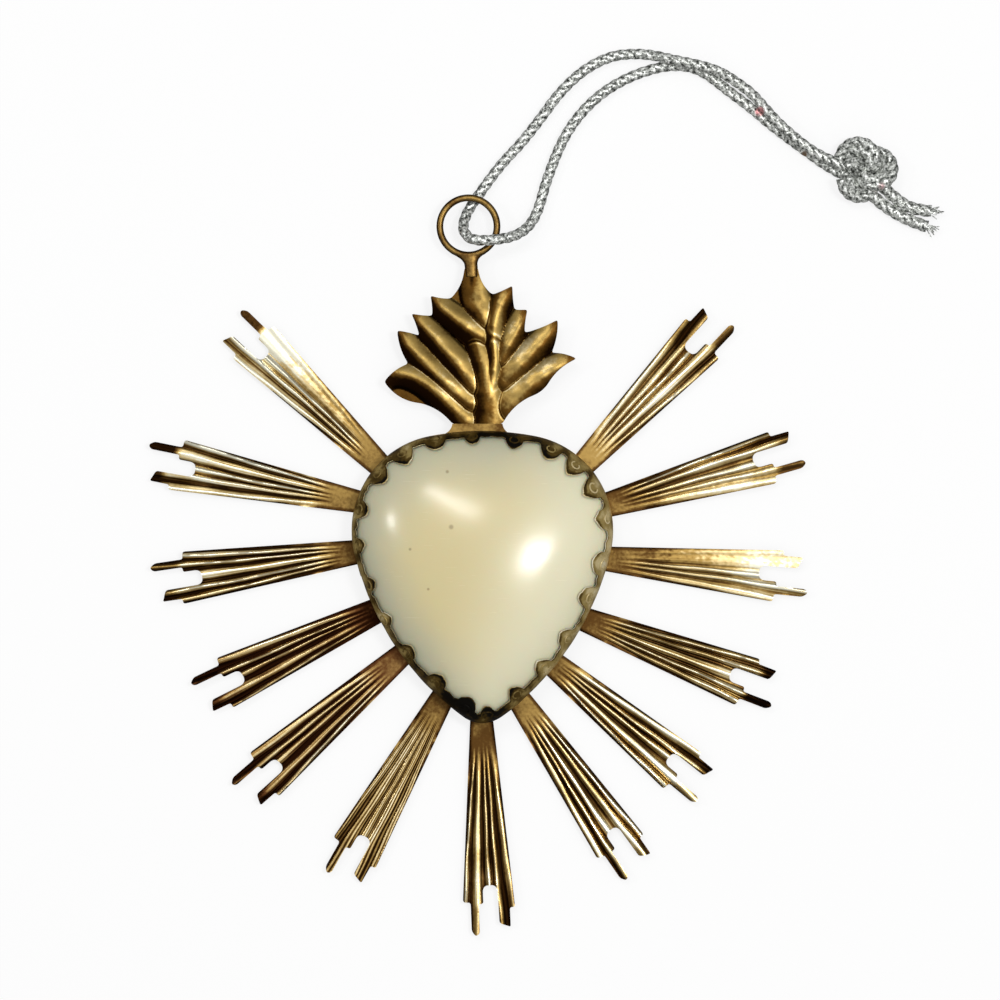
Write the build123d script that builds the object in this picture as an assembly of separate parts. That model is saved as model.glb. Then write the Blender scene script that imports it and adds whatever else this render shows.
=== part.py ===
from build123d import *
import math
import os

# Sunburst heart ornament, lying on its back. Millimetres, +Z towards the viewer, +Y towards the hanging ring.
# The origin is the centre of the heart, on the rear face of the back plate.

# Heart outline of the setting: two shoulder circles and a tip circle, joined by long arcs
SHOULDER_X = 5.2
SHOULDER_Y = 6.85
SHOULDER_RADIUS = 14.4
TIP_Y = -17.0
TIP_RADIUS = 5.0
TOP_ARC_RADIUS = 42.0
SIDE_ARC_RADIUS = 43.0

# Sheets stacked from the back to the front: the roots of the rays lie between two plates
BACK_PLATE_THICK = 0.5
BACK_PLATE_INSET = 0.7
RAY_SHEET = 0.35
BASE_THICK = 0.4

# Cup of the stone: a strip that stands straight up to the girdle and is then folded over the dome
BEZEL_WALL = 0.4
STONE_CLEARANCE = 0.1
GIRDLE_HEIGHT = 2.2
DOME_RISE = 7.5
DOME_ANGLES = (0, 18, 36, 54, 70, 82)
LOBE_COUNT = 22
LOBE_WIDTH = 2.5
LOBE_REACH = 2.3
VALLEY_REACH = 1.15
VALLEY_MID_REACH = 0.95

# Ray stamping: x runs outwards along the ray and is 0 at the shorter corner of its blade
BLADE_LENGTH = 30.0
RAY_ROOT_WIDTH = 3.0
RAY_END_WIDTH = 7.8
CORNER_STEP = 1.0
FLUTE_START = -24.0
FLUTE_APEX = -36.0
FLUTE_PITCH = 1.72
FLUTE_DEPTH = 0.9
FLUTE_COUNT = 5
RAY_LIFT = 0.35
TONGUE_ROOT = 1.0
THIN_TONGUE_LENGTH = 5.1
THIN_TONGUE_WIDTH = 1.2
THIN_TONGUE_SIDE = -2.15
WIDE_TONGUE_LENGTH = 4.0
WIDE_TONGUE_WIDTH = 1.65
WIDE_TONGUE_SIDE = 2.3
TONGUE_SLANT = 0.7
NOTCH_DEPTH = 2.4
NOTCH_WIDTH = 2.2
NOTCH_SIDE = 0.25

# Each ray: its bearing in degrees, how far its axis passes beside the centre of the heart,
# and how far its thin tongue reaches beyond the wall of the setting
RAYS = (
    (46.6, 0.5, 30.2),
    (16.0, 5.1, 30.0),
    (-5.7, 4.4, 30.1),
    (-21.0, -0.6, 30.7),
    (-39.6, -3.4, 29.4),
    (-55.4, -6.0, 31.0),
    (-87.7, -1.0, 31.9),
    (-119.6, 3.8, 31.1),
    (-139.0, 1.0, 31.9),
    (-154.6, -2.1, 29.6),
    (-171.6, -6.3, 30.6),
    (168.5, -7.2, 32.1),
    (135.7, -1.1, 30.8),
)

# Collar that joins the flame to the wall of the bezel
COLLAR_HEIGHT = 1.05
COLLAR_FOOT_WIDTH = 10.4
COLLAR_HOLLOW = 0.35

# Flame: places are measured from the middle of its foot, on the collar
FLAME_X = -0.75
FLAME_FOOT_WIDTH = 7.5
FLAME_SHEET = 0.5
FLAME_RELIEF = 1.0
NECK_TOP = 23.4
NECK_LEFT = -1.95
NECK_RIGHT = 0.1
FOOT_HOLLOW = 0.5
NECK_HOLLOW = 0.5

# Each step of the flame's edge: the next point and how far the edge bows out on its way there.
# The left edge runs down from the neck towards the foot, and the right edge up towards the neck.
FLAME_LEFT_START = (-4.05, 18.75)
FLAME_LEFT_EDGE = (
    ((-7.05, 19.2), -0.15),
    ((-6.75, 16.2), -0.1),
    ((-9.9, 16.5), -0.1),
    ((-8.7, 13.2), -0.1),
    ((-12.0, 13.95), 0.1),
    ((-10.35, 9.0), 0.35),
    ((-13.95, 6.3), 0.35),
    ((-8.55, 3.1), 0.75),
)
FLAME_RIGHT_START = (7.95, 4.1)
FLAME_RIGHT_EDGE = (
    ((10.5, 5.9), 0.25),
    ((14.85, 9.75), -0.5),
    ((11.1, 10.65), 0.25),
    ((12.0, 15.6), 0.3),
    ((7.05, 13.65), -0.2),
    ((7.5, 17.1), -0.1),
    ((5.55, 17.1), -0.05),
    ((5.25, 20.7), -0.1),
    ((2.25, 19.35), -0.1),
)

# Each rib of the flame: its outer end, the point that bends it, its inner end, and its half width there
FLAME_RIBS = (
    ((-7.05, 19.05), (-3.3, 15.3), (0.9, 13.05), 2.1),
    ((-9.9, 16.35), (-4.5, 11.4), (-0.6, 5.7), 2.2),
    ((-11.85, 13.65), (-7.35, 8.1), (-1.35, 3.3), 2.1),
    ((-13.65, 6.6), (-9.75, 9.6), (-1.95, 0.6), 2.0),
    ((-1.35, 12.3), (1.35, 9.3), (1.2, 0.0), 1.5),
    ((1.5, 15.9), (2.7, 9.6), (3.0, 0.0), 1.4),
    ((-1.05, 23.7), (-0.75, 18.6), (1.35, 15.3), 2.2),
    ((5.25, 20.55), (1.8, 17.4), (2.4, 11.1), 1.7),
    ((7.35, 16.95), (5.25, 13.35), (3.45, 9.6), 1.7),
    ((12.0, 15.3), (7.95, 10.2), (3.9, 6.75), 2.2),
    ((14.55, 9.75), (10.2, 8.4), (4.35, 2.6), 2.3),
)
RIB_TIP_HALF_WIDTH = 1.5

# Arch of a rib's section: the share of its half width and the share of its height at each corner
RIB_ARCH = ((1.0, 0.0), (0.5, 0.7), (0.0, 1.0), (-0.5, 0.7), (-1.0, 0.0))

# Sections along a rib: the place from its outer end to its inner end, and the share of the full relief there
RIB_SECTIONS = ((0.0, 0.6), (0.35, 0.95), (0.7, 1.0), (1.0, 0.7))

# Hanging ring, drawn with flat sides, and its stem, which is soldered to the neck of the flame
RING_RADIUS = 4.28
RING_WIRE = 1.05
RING_SIDES = 12
RING_X = -1.35
RING_RISE = 29.55
RING_LIFT = 0.1
STEM_FLARE = 3.4
STEM_HOLLOW = 0.35

# Metallic cord, drawn with flat sides, lying on the table: from the knot through the ring and back
CORD_DIAMETER = 1.6
CORD_SIDES = 6
BEND_SHARE = 0.45
CORD_ROUTE = (
    (54.4, 61.3, 2.75),
    (52.1, 62.2, 2.55),
    (49.2, 63.7, 2.5),
    (46.3, 66.0, 2.55),
    (44.1, 68.0, 2.5),
    (42.3, 70.1, 2.1),
    (40.4, 72.4, 1.2),
    (38.1, 74.1, 1.1),
    (35.7, 75.5, 1.95),
    (33.2, 76.3, 2.5),
    (30.9, 76.8, 2.6),
    (28.4, 77.3, 2.5),
    (26.0, 78.0, 1.55),
    (23.0, 78.4, 0.85),
    (19.1, 78.0, 0.85),
    (15.1, 75.9, 0.85),
    (11.6, 72.6, 0.85),
    (8.7, 68.6, 0.85),
    (5.8, 64.9, 0.85),
    (3.0, 62.0, 0.85),
    (0.8, 59.1, 0.85),
    (-0.9, 56.7, 0.85),
    (-2.1, 54.9, 1.05),
    (-2.8, 53.2, 1.85),
    (-2.9, 51.7, 2.85),
    (-2.0, 50.5, 3.75),
    (-0.4, 50.1, 4.25),
    (2.3, 50.3, 4.25),
    (4.4, 50.7, 3.55),
    (6.3, 51.7, 2.45),
    (7.7, 53.4, 1.45),
    (8.6, 55.6, 0.9),
    (9.3, 58.3, 0.85),
    (10.3, 61.2, 0.85),
    (11.4, 64.0, 0.85),
    (13.0, 67.1, 0.85),
    (15.4, 70.2, 0.85),
    (18.5, 72.9, 0.85),
    (22.1, 74.9, 0.85),
    (25.9, 76.2, 0.85),
    (28.6, 76.6, 0.85),
    (31.2, 76.4, 0.85),
    (33.3, 75.5, 0.85),
    (35.1, 74.2, 0.85),
    (37.1, 72.6, 0.85),
    (39.3, 71.0, 0.85),
    (41.5, 69.2, 0.85),
    (43.6, 67.4, 0.85),
    (46.0, 65.6, 0.85),
    (49.0, 63.4, 0.85),
    (51.6, 61.5, 0.85),
    (54.0, 60.2, 0.9),
)

# Knot: one turn of an overhand knot that winds round a ring, and the two tails beyond it
KNOT_PLACE = (57.1, 60.9, 2.25)
KNOT_RADIUS = 2.5
KNOT_WINDING = 1.3
KNOT_LOBES = 3
KNOT_TURNS = 2
KNOT_ANGLE = 5
KNOT_START = 100
KNOT_END = 445
KNOT_STEPS = 18
TAIL_ROUTES = (
    (
        (59.1, 59.3, 1.3),
        (60.4, 58.0, 1.0),
        (61.9, 56.7, 0.85),
        (63.7, 55.4, 0.85),
        (65.6, 54.9, 0.85),
        (67.3, 54.7, 0.9),
    ),
    (
        (57.6, 58.0, 1.3),
        (58.9, 56.6, 1.0),
        (60.6, 55.3, 0.85),
        (62.5, 54.1, 0.85),
        (64.6, 53.1, 0.85),
        (66.7, 52.4, 0.9),
    ),
)

# Levels of the stack above the table
RAY_LEVEL = BACK_PLATE_THICK
BASE_LEVEL = RAY_LEVEL + RAY_SHEET
CUP_LEVEL = BASE_LEVEL + BASE_THICK
GIRDLE_LEVEL = CUP_LEVEL + GIRDLE_HEIGHT
STONE_INSET = BEZEL_WALL + STONE_CLEARANCE
FLAME_BACK_LEVEL = GIRDLE_LEVEL - FLAME_SHEET - FLAME_RELIEF
RING_LEVEL = FLAME_BACK_LEVEL + RING_WIRE / 2 + RING_LIFT


def touching_arc_centre(first, first_radius, second, second_radius, radius):
    """Centre of the arc of the given radius that encloses and touches two circles, on its left-hand side."""
    gap = second - first
    to_first = radius - first_radius
    to_second = radius - second_radius
    along = (to_first**2 - to_second**2 + gap.length**2) / (2 * gap.length)
    across = math.sqrt(to_first**2 - along**2)
    forward = gap.normalized()
    return first + forward * along + Vector(forward.Y, -forward.X) * across


def bearing(start, end):
    """Direction from start to end, in degrees."""
    return math.degrees(math.atan2(end.Y - start.Y, end.X - start.X))


SHOULDER = Vector(SHOULDER_X, SHOULDER_Y)
TIP = Vector(0, TIP_Y)
TOP_CENTRE = Vector(0, SHOULDER_Y - math.sqrt((TOP_ARC_RADIUS - SHOULDER_RADIUS) ** 2 - SHOULDER_X**2))
SIDE_CENTRE = touching_arc_centre(SHOULDER, SHOULDER_RADIUS, TIP, TIP_RADIUS, SIDE_ARC_RADIUS)
HEART_TOP = TOP_CENTRE.Y + TOP_ARC_RADIUS
FOOT = Vector(FLAME_X, HEART_TOP + COLLAR_HEIGHT)


def heart_edges(inset=0.0, share=1.0):
    """Edges of the heart outline, clockwise from the middle of its top, drawn in by inset and then scaled."""
    top_end = bearing(TOP_CENTRE, SHOULDER)
    side_start = bearing(SIDE_CENTRE, SHOULDER)
    side_end = bearing(SIDE_CENTRE, TIP)
    arcs = (
        (TOP_CENTRE, TOP_ARC_RADIUS, 90, top_end),
        (SHOULDER, SHOULDER_RADIUS, top_end, side_start),
        (SIDE_CENTRE, SIDE_ARC_RADIUS, side_start, side_end),
        (TIP, TIP_RADIUS, side_end, -90),
    )
    right = [CenterArc(c * share, (r - inset) * share, a, b - a) for c, r, a, b in arcs]
    mirrored = [(Vector(-c.X, c.Y), r, 180 - b, 180 - a) for c, r, a, b in arcs]
    left = [CenterArc(c * share, (r - inset) * share, a, b - a) for c, r, a, b in mirrored]
    return right + left[::-1]


def heart_face(inset=0.0, share=1.0, level=0.0):
    """Flat heart at a level."""
    return Pos(0, 0, level) * make_face(heart_edges(inset, share))


def plate(inset, level, thick):
    """Heart-shaped plate that rises from a level."""
    return extrude(heart_face(inset, level=level), thick)


def dome(inset):
    """Straight wall and dome of the cup, drawn in by inset; each section of the dome is a smaller heart."""
    rise = DOME_RISE + STONE_INSET - inset
    sections = []
    for angle in DOME_ANGLES:
        up = math.radians(angle)
        sections.append(heart_face(inset, math.cos(up), GIRDLE_LEVEL + rise * math.sin(up)).face())
    wall = plate(inset, CUP_LEVEL, GIRDLE_HEIGHT)
    return wall + loft(sections + [Vertex(0, 0, GIRDLE_LEVEL + rise)])


def scalloped_edge():
    """Plan of the bezel's inner edge: round lobes on the stone, with shallow valleys between them."""
    outline = Wire(heart_edges())
    half_lobe = LOBE_WIDTH / 2 / outline.length

    def inward(at, reach):
        at = at % 1
        tangent = outline.tangent_at(at)
        return outline.position_at(at) + Vector(tangent.Y, -tangent.X) * reach

    edges = []
    for lobe in range(LOBE_COUNT):
        here = lobe / LOBE_COUNT
        ahead = (lobe + 1) / LOBE_COUNT
        start = inward(here - half_lobe, VALLEY_REACH)
        end = inward(here + half_lobe, VALLEY_REACH)
        edges.append(ThreePointArc(start, inward(here, LOBE_REACH), end))
        middle = inward((here + ahead) / 2, VALLEY_MID_REACH)
        edges.append(ThreePointArc(end, middle, inward(ahead - half_lobe, VALLEY_REACH)))
    return make_face(edges)


def bezel():
    """Gallery strip round the stone, open above its scalloped edge."""
    shell = dome(0) - dome(BEZEL_WALL)
    above = extrude(Pos(0, 0, CUP_LEVEL) * scalloped_edge(), 2 * (GIRDLE_HEIGHT + DOME_RISE))
    return shell - above


def ray_section(x):
    """Section of the fluted sheet, wider than the ray itself; all folds spring from one apex."""
    share = 1 - x / FLUTE_APEX
    middle = RAY_LEVEL + RAY_SHEET + RAY_LIFT * (1 - x / FLUTE_START)
    upper = [Vector(x, -RAY_END_WIDTH, middle)]
    for step in range(-FLUTE_COUNT, FLUTE_COUNT + 1):
        crest = 1 if step % 2 == 0 else -1
        upper.append(Vector(x, step * FLUTE_PITCH / 2 * share, middle + crest * FLUTE_DEPTH / 2 * share))
    upper.append(Vector(x, RAY_END_WIDTH, middle))
    lower = [point - Vector(0, 0, RAY_SHEET) for point in upper]
    return Face(Wire.make_polygon(upper + lower[::-1]))


def ray_outline():
    """Stamped outline of a ray: a widening blade with a notch between a thin and a wide tongue."""
    half_root = RAY_ROOT_WIDTH / 2
    half_end = RAY_END_WIDTH / 2
    blade = Polygon(
        (-BLADE_LENGTH, -half_root),
        (0, -half_end),
        (CORNER_STEP, half_end),
        (-BLADE_LENGTH, half_root),
        align=None,
    )
    half_thin = THIN_TONGUE_WIDTH / 2
    thin = Polygon(
        (-TONGUE_ROOT, THIN_TONGUE_SIDE - half_thin),
        (THIN_TONGUE_LENGTH - TONGUE_SLANT, THIN_TONGUE_SIDE - half_thin),
        (THIN_TONGUE_LENGTH, THIN_TONGUE_SIDE),
        (THIN_TONGUE_LENGTH - TONGUE_SLANT / 2, THIN_TONGUE_SIDE + half_thin),
        (-TONGUE_ROOT, THIN_TONGUE_SIDE + half_thin),
        align=None,
    )
    half_wide = WIDE_TONGUE_WIDTH / 2
    wide = Polygon(
        (-TONGUE_ROOT, WIDE_TONGUE_SIDE - half_wide),
        (WIDE_TONGUE_LENGTH - TONGUE_SLANT, WIDE_TONGUE_SIDE - half_wide),
        (WIDE_TONGUE_LENGTH, WIDE_TONGUE_SIDE + half_wide),
        (-TONGUE_ROOT, WIDE_TONGUE_SIDE + half_wide),
        align=None,
    )
    notch_centre = NOTCH_WIDTH / 2 - NOTCH_DEPTH
    notch = Pos(notch_centre, NOTCH_SIDE) * Circle(NOTCH_WIDTH / 2)
    mouth = Pos(notch_centre, NOTCH_SIDE) * Rectangle(
        2 * NOTCH_DEPTH, NOTCH_WIDTH, align=(Align.MIN, Align.CENTER)
    )
    return blade - notch - mouth + thin + wide


def ray_stamping():
    """One ray in its own place: a flat root, and flutes that fan out and deepen towards the tongues."""
    flat = Pos(FLUTE_START, 0, RAY_LEVEL) * Box(
        BLADE_LENGTH, RAY_END_WIDTH, RAY_SHEET, align=(Align.MAX, Align.CENTER, Align.MIN)
    )
    fluted = loft([ray_section(FLUTE_START), ray_section(THIN_TONGUE_LENGTH + TONGUE_ROOT)], ruled=True)
    height = RAY_LEVEL + RAY_SHEET + 2 * (RAY_LIFT + FLUTE_DEPTH)
    return (flat + fluted) & extrude(ray_outline(), height)


def ray_place(angle, offset, reach):
    """Place of a ray: its axis passes beside the centre, and its thin tongue ends beyond the wall."""
    turn = math.radians(angle)
    outwards = Vector(math.cos(turn), math.sin(turn))
    start = Vector(-outwards.Y, outwards.X) * offset
    far = start + outwards * (TOP_ARC_RADIUS + SIDE_ARC_RADIUS)
    inside = Edge.make_line(start, far) & heart_face().face()
    to_wall = max((vertex.center() - start).length for vertex in inside.vertices())
    blade_end = start + outwards * (to_wall + reach - THIN_TONGUE_LENGTH)
    return Location((blade_end.X, blade_end.Y, 0), (0, 0, angle))


def collar():
    """Flared saddle between the wall of the bezel and the foot of the flame."""
    half_foot = FLAME_FOOT_WIDTH / 2
    half_base = COLLAR_FOOT_WIDTH / 2
    below = HEART_TOP - COLLAR_FOOT_WIDTH / 4
    corners = [
        Vector(FOOT.X - half_foot, FOOT.Y),
        Vector(FOOT.X + half_foot, FOOT.Y),
        Vector(FOOT.X + half_base, HEART_TOP - COLLAR_HEIGHT / 2),
        Vector(FOOT.X + half_base, below),
        Vector(FOOT.X - half_base, below),
        Vector(FOOT.X - half_base, HEART_TOP - COLLAR_HEIGHT / 2),
    ]
    edges = [
        Line(corners[0], corners[1]),
        SagittaArc(corners[1], corners[2], -COLLAR_HOLLOW),
        Polyline(*corners[2:]),
        SagittaArc(corners[5], corners[0], -COLLAR_HOLLOW),
    ]
    block = extrude(Pos(0, 0, BASE_LEVEL) * make_face(edges), GIRDLE_LEVEL - BASE_LEVEL)
    return block - plate(0, BASE_LEVEL, GIRDLE_LEVEL - BASE_LEVEL)


def bowed_edges(start, steps):
    """Edges from start through the given points, each bowed out to the right by its own height."""
    edges = []
    for point, bow in steps:
        end = Vector(*point)
        edges.append(SagittaArc(start, end, -bow))
        start = end
    return edges


def flame_outline():
    """Plan of the flame, from the left side of its neck round its foot to the right side of the neck."""
    left_top = Vector(NECK_LEFT, NECK_TOP)
    right_top = Vector(NECK_RIGHT, NECK_TOP)
    left_foot = Vector(-FLAME_FOOT_WIDTH / 2, 0)
    right_foot = Vector(FLAME_FOOT_WIDTH / 2, 0)
    left = ((FLAME_LEFT_START, -NECK_HOLLOW), *FLAME_LEFT_EDGE, (left_foot, -FOOT_HOLLOW))
    right = ((FLAME_RIGHT_START, -FOOT_HOLLOW), *FLAME_RIGHT_EDGE, (right_top, -NECK_HOLLOW))
    foot = Line(left_foot, right_foot)
    neck = Line(right_top, left_top)
    return make_face(bowed_edges(left_top, left) + [foot] + bowed_edges(right_foot, right) + [neck])


def flame_rib(tip, bend, root, half_width):
    """Rib along a bent line, through arched sections that stand in the sheet."""
    tip, bend, root = Vector(*tip), Vector(*bend), Vector(*root)
    sunk = FLAME_SHEET / 2
    sections = []
    for t, share in RIB_SECTIONS:
        middle = tip * (1 - t) ** 2 + bend * (2 * t * (1 - t)) + root * t**2
        along = ((bend - tip) * (1 - t) + (root - bend) * t).normalized()
        side = Vector(-along.Y, along.X) * (RIB_TIP_HALF_WIDTH + (half_width - RIB_TIP_HALF_WIDTH) * t)
        height = sunk + FLAME_RELIEF * share
        corners = [middle + side * out + Vector(0, 0, sunk + height * up) for out, up in RIB_ARCH]
        sections.append(Face(Wire.make_polygon(corners)))
    return loft(sections, ruled=True)


def flame():
    """Cast flame with a flat back: a sheet cut to the outline, with ribs that run out into its tongues."""
    outline = flame_outline()
    ribs = [flame_rib(*rib).solid() for rib in FLAME_RIBS]
    body = extrude(outline, FLAME_SHEET).fuse(*ribs)
    body = body & extrude(outline, 2 * (FLAME_SHEET + FLAME_RELIEF))
    return Pos(FOOT.X, FOOT.Y, FLAME_BACK_LEVEL) * body


def hanging_ring():
    """Round wire ring with a flat stem that flares into the ring and ends on the neck of the flame."""
    centre = Vector(RING_X, RING_RISE)
    half_flare = STEM_FLARE / 2
    drop = math.sqrt(RING_RADIUS**2 - half_flare**2)
    corners = [
        Vector(NECK_LEFT, NECK_TOP),
        Vector(NECK_RIGHT, NECK_TOP),
        Vector(RING_X + half_flare, RING_RISE - drop),
        Vector(RING_X - half_flare, RING_RISE - drop),
    ]
    edges = [
        Line(corners[0], corners[1]),
        SagittaArc(corners[1], corners[2], STEM_HOLLOW),
        ThreePointArc(corners[2], centre - Vector(0, RING_RADIUS), corners[3]),
        SagittaArc(corners[3], corners[0], STEM_HOLLOW),
    ]
    stem = extrude(make_face(edges), RING_WIRE / 2, both=True)
    wire = Plane.XZ * (Pos(RING_RADIUS, 0) * RegularPolygon(RING_WIRE / 2, RING_SIDES))
    ring = Pos(centre.X, centre.Y, 0) * revolve(wire, Axis.Z)
    return Pos(FOOT.X, FOOT.Y, RING_LEVEL) * (ring + stem)


def cord_tube(points):
    """Tube along straight runs that are joined by arcs as large as the runs allow."""
    route = [Vector(*point) for point in points]
    radii = []
    for before, here, after in zip(route, route[1:], route[2:]):
        run_in = here - before
        run_out = after - here
        half_turn = math.radians(run_in.get_angle(run_out)) / 2
        radii.append(BEND_SHARE * min(run_in.length, run_out.length) / math.tan(half_turn))
    path = FilletPolyline(*route, radius=radii)
    section = Plane(origin=path @ 0, z_dir=path % 0) * RegularPolygon(CORD_DIAMETER / 2, CORD_SIDES)
    return sweep(section, path=path)


def knot_route():
    """Points of the knot, which winds round a ring; its ends lie under a crossing."""
    points = []
    for step in range(KNOT_STEPS + 1):
        turn = math.radians(KNOT_START + (KNOT_END - KNOT_START) * step / KNOT_STEPS)
        reach = KNOT_RADIUS + KNOT_WINDING * math.cos(KNOT_LOBES * turn)
        angle = KNOT_TURNS * turn + math.radians(KNOT_ANGLE)
        rise = -KNOT_WINDING * math.sin(KNOT_LOBES * turn)
        points.append(Vector(*KNOT_PLACE) + Vector(reach * math.cos(angle), reach * math.sin(angle), rise))
    return points


def build():
    """All pieces by name."""
    pieces = {
        "back_plate": plate(BACK_PLATE_INSET, 0, BACK_PLATE_THICK),
        "setting_base": plate(0, BASE_LEVEL, BASE_THICK),
        "bezel": bezel(),
        "cabochon": dome(STONE_INSET),
        "flame_collar": collar(),
        "flame": flame(),
        "hanging_ring": hanging_ring(),
        "cord_loop": cord_tube(CORD_ROUTE),
        "cord_knot": cord_tube(knot_route()),
        "cord_tails": Compound([cord_tube(route).solid() for route in TAIL_ROUTES]),
    }
    stamping = ray_stamping()
    for number, ray in enumerate(RAYS, start=1):
        pieces[f"ray_{number:02d}"] = ray_place(*ray) * stamping
    return pieces


os.makedirs("parts", exist_ok=True)
for node, shape in build().items():
    export_step(shape, f"parts/{node}.step")
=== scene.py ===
import logging
import math
from dataclasses import dataclass, field
from enum import Enum

import bmesh
import bpy
import numpy as np
from bpy.types import Material, Mesh, Object
from mathutils import Matrix, Quaternion, Vector
from mathutils.geometry import delaunay_2d_cdt


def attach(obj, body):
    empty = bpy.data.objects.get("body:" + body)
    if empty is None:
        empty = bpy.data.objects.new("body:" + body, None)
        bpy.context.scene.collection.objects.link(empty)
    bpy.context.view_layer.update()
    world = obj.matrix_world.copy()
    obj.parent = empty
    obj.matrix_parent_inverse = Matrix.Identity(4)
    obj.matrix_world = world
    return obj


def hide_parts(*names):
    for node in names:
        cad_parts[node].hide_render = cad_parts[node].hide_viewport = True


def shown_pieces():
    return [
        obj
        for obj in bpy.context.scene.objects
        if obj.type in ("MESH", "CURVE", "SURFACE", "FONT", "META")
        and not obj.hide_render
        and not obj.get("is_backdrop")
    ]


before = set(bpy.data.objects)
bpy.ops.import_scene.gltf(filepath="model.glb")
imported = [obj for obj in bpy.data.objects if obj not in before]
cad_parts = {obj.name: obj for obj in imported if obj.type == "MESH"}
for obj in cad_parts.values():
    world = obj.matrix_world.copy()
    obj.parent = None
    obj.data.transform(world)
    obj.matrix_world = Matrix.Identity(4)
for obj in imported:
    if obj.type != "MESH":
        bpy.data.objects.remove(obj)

LOG = logging.getLogger("charm")
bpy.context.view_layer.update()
MM = 0.001
SHARP_ANGLE = math.radians(50)
UNDERSIDE_WEAR = 0.3
YARN_CORE = 0.78
YARN_SWELL = 0.24
CORD_END = 0.1
Colour = tuple[float, float, float, float]
Stops = tuple[tuple[float, Colour], ...]
Point = tuple[float, float, float]
Faces = list[tuple[int, ...]]


class Body(str, Enum):
    """Bodies of the physics record."""

    ORNAMENT = "ornament"
    CORD = "cord"


class Slot(str, Enum):
    """Material slots of the record."""

    BRASS = "brass"
    STONE = "stone"
    CORD = "cord"


# Node trees


@dataclass(frozen=True)
class Wire:
    """Output socket that can be reckoned with; new maths nodes go into its graph."""

    graph: "Graph"
    socket: bpy.types.NodeSocket

    def _maths(self, operation: str, left: "Wire | float", right: "Wire | float") -> "Wire":
        """Add a maths node and give its output."""
        return self.graph.node("ShaderNodeMath", {"operation": operation}, {0: left, 1: right})

    def __add__(self, other: "Wire | float") -> "Wire":
        """Sum."""
        return self._maths("ADD", self, other)

    def __radd__(self, other: float) -> "Wire":
        """Sum, reflected."""
        return self._maths("ADD", other, self)

    def __sub__(self, other: "Wire | float") -> "Wire":
        """Difference."""
        return self._maths("SUBTRACT", self, other)

    def __rsub__(self, other: float) -> "Wire":
        """Difference, reflected."""
        return self._maths("SUBTRACT", other, self)

    def __mul__(self, other: "Wire | float") -> "Wire":
        """Product."""
        return self._maths("MULTIPLY", self, other)

    def __rmul__(self, other: float) -> "Wire":
        """Product, reflected."""
        return self._maths("MULTIPLY", other, self)

    def step(self, low: float, high: float) -> "Wire":
        """Smooth step that gives 0 at the low value and 1 at the high one."""
        settings = {"interpolation_type": "SMOOTHSTEP"}
        return self.graph.node("ShaderNodeMapRange", settings, {0: self, 1: low, 2: high})


class Graph:
    """Node tree that is filled by short calls."""

    def __init__(self, tree: bpy.types.NodeTree) -> None:
        """Start with an empty tree."""
        self.tree = tree
        tree.nodes.clear()

    def node(
        self,
        kind: str,
        settings: dict[str, object] | None = None,
        sockets: dict[int | str, object] | None = None,
        out: int | str = 0,
    ) -> Wire:
        """Add a node.

        Args:
            kind: node type.
            settings: properties, set before the sockets.
            sockets: values or wires for its inputs.
            out: output that is returned.

        Returns:
            The chosen output.
        """
        node = self.tree.nodes.new(kind)
        for name, value in (settings or {}).items():
            setattr(node, name, value)
        for key, value in (sockets or {}).items():
            if isinstance(value, Wire):
                self.tree.links.new(value.socket, node.inputs[key])
            else:
                node.inputs[key].default_value = value
        outputs = node.outputs
        return Wire(self, outputs[out] if len(outputs) else node.inputs[0])

    def vector(self, operation: str, first: Wire, second: Point, out: str = "Value") -> Wire:
        """Add a vector maths node and give the chosen output."""
        return self.node("ShaderNodeVectorMath", {"operation": operation}, {0: first, 1: second}, out)

    def mix(self, factor: Wire | float, first: Wire | Colour, second: Wire | Colour) -> Wire:
        """Mix two colours; the factor is the share of the second."""
        return self.node("ShaderNodeMix", {"data_type": "RGBA"}, {0: factor, 6: first, 7: second}, 2)

    def noise(self, vector: Wire, scale: float, detail: float = 3.0) -> Wire:
        """Noise from 0 to 1."""
        return self.node("ShaderNodeTexNoise", None, {"Vector": vector, "Scale": scale, "Detail": detail})

    def place(self) -> Wire:
        """Object coordinates, which are metres in the shared frame."""
        return self.node("ShaderNodeTexCoord", out="Object")

    def mark(self, name: str) -> Wire:
        """Per-point number that the mesh carries."""
        return self.node("ShaderNodeAttribute", {"attribute_name": name}, out="Fac")

    def spot(self, flat: Wire, x: float, y: float, radius: float, core: float) -> Wire:
        """Round spot in plan, in millimetres: 1 in its core share and 0 beyond its radius."""
        gap = self.vector("DISTANCE", flat, (x * MM, y * MM, 0))
        return 1 - gap.step(core * radius * MM, radius * MM)

    def bump(self, strength: float, distance: float, height: Wire) -> Wire:
        """Normal that is roughened by a height."""
        sockets = {"Strength": strength, "Distance": distance, "Height": height}
        return self.node("ShaderNodeBump", None, sockets)

    def surface(self, sockets: dict[int | str, object]) -> None:
        """Add the surface shader and the material's output."""
        shader = self.node("ShaderNodeBsdfPrincipled", None, sockets)
        self.node("ShaderNodeOutputMaterial", None, {0: shader})


def new_material(name: str) -> tuple[Material, Graph]:
    """Make an empty node material.

    Args:
        name: material's name.

    Returns:
        The material and its graph.
    """
    material = bpy.data.materials.new(name)
    material.use_nodes = True
    return material, Graph(material.node_tree)


# Finishes


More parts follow.
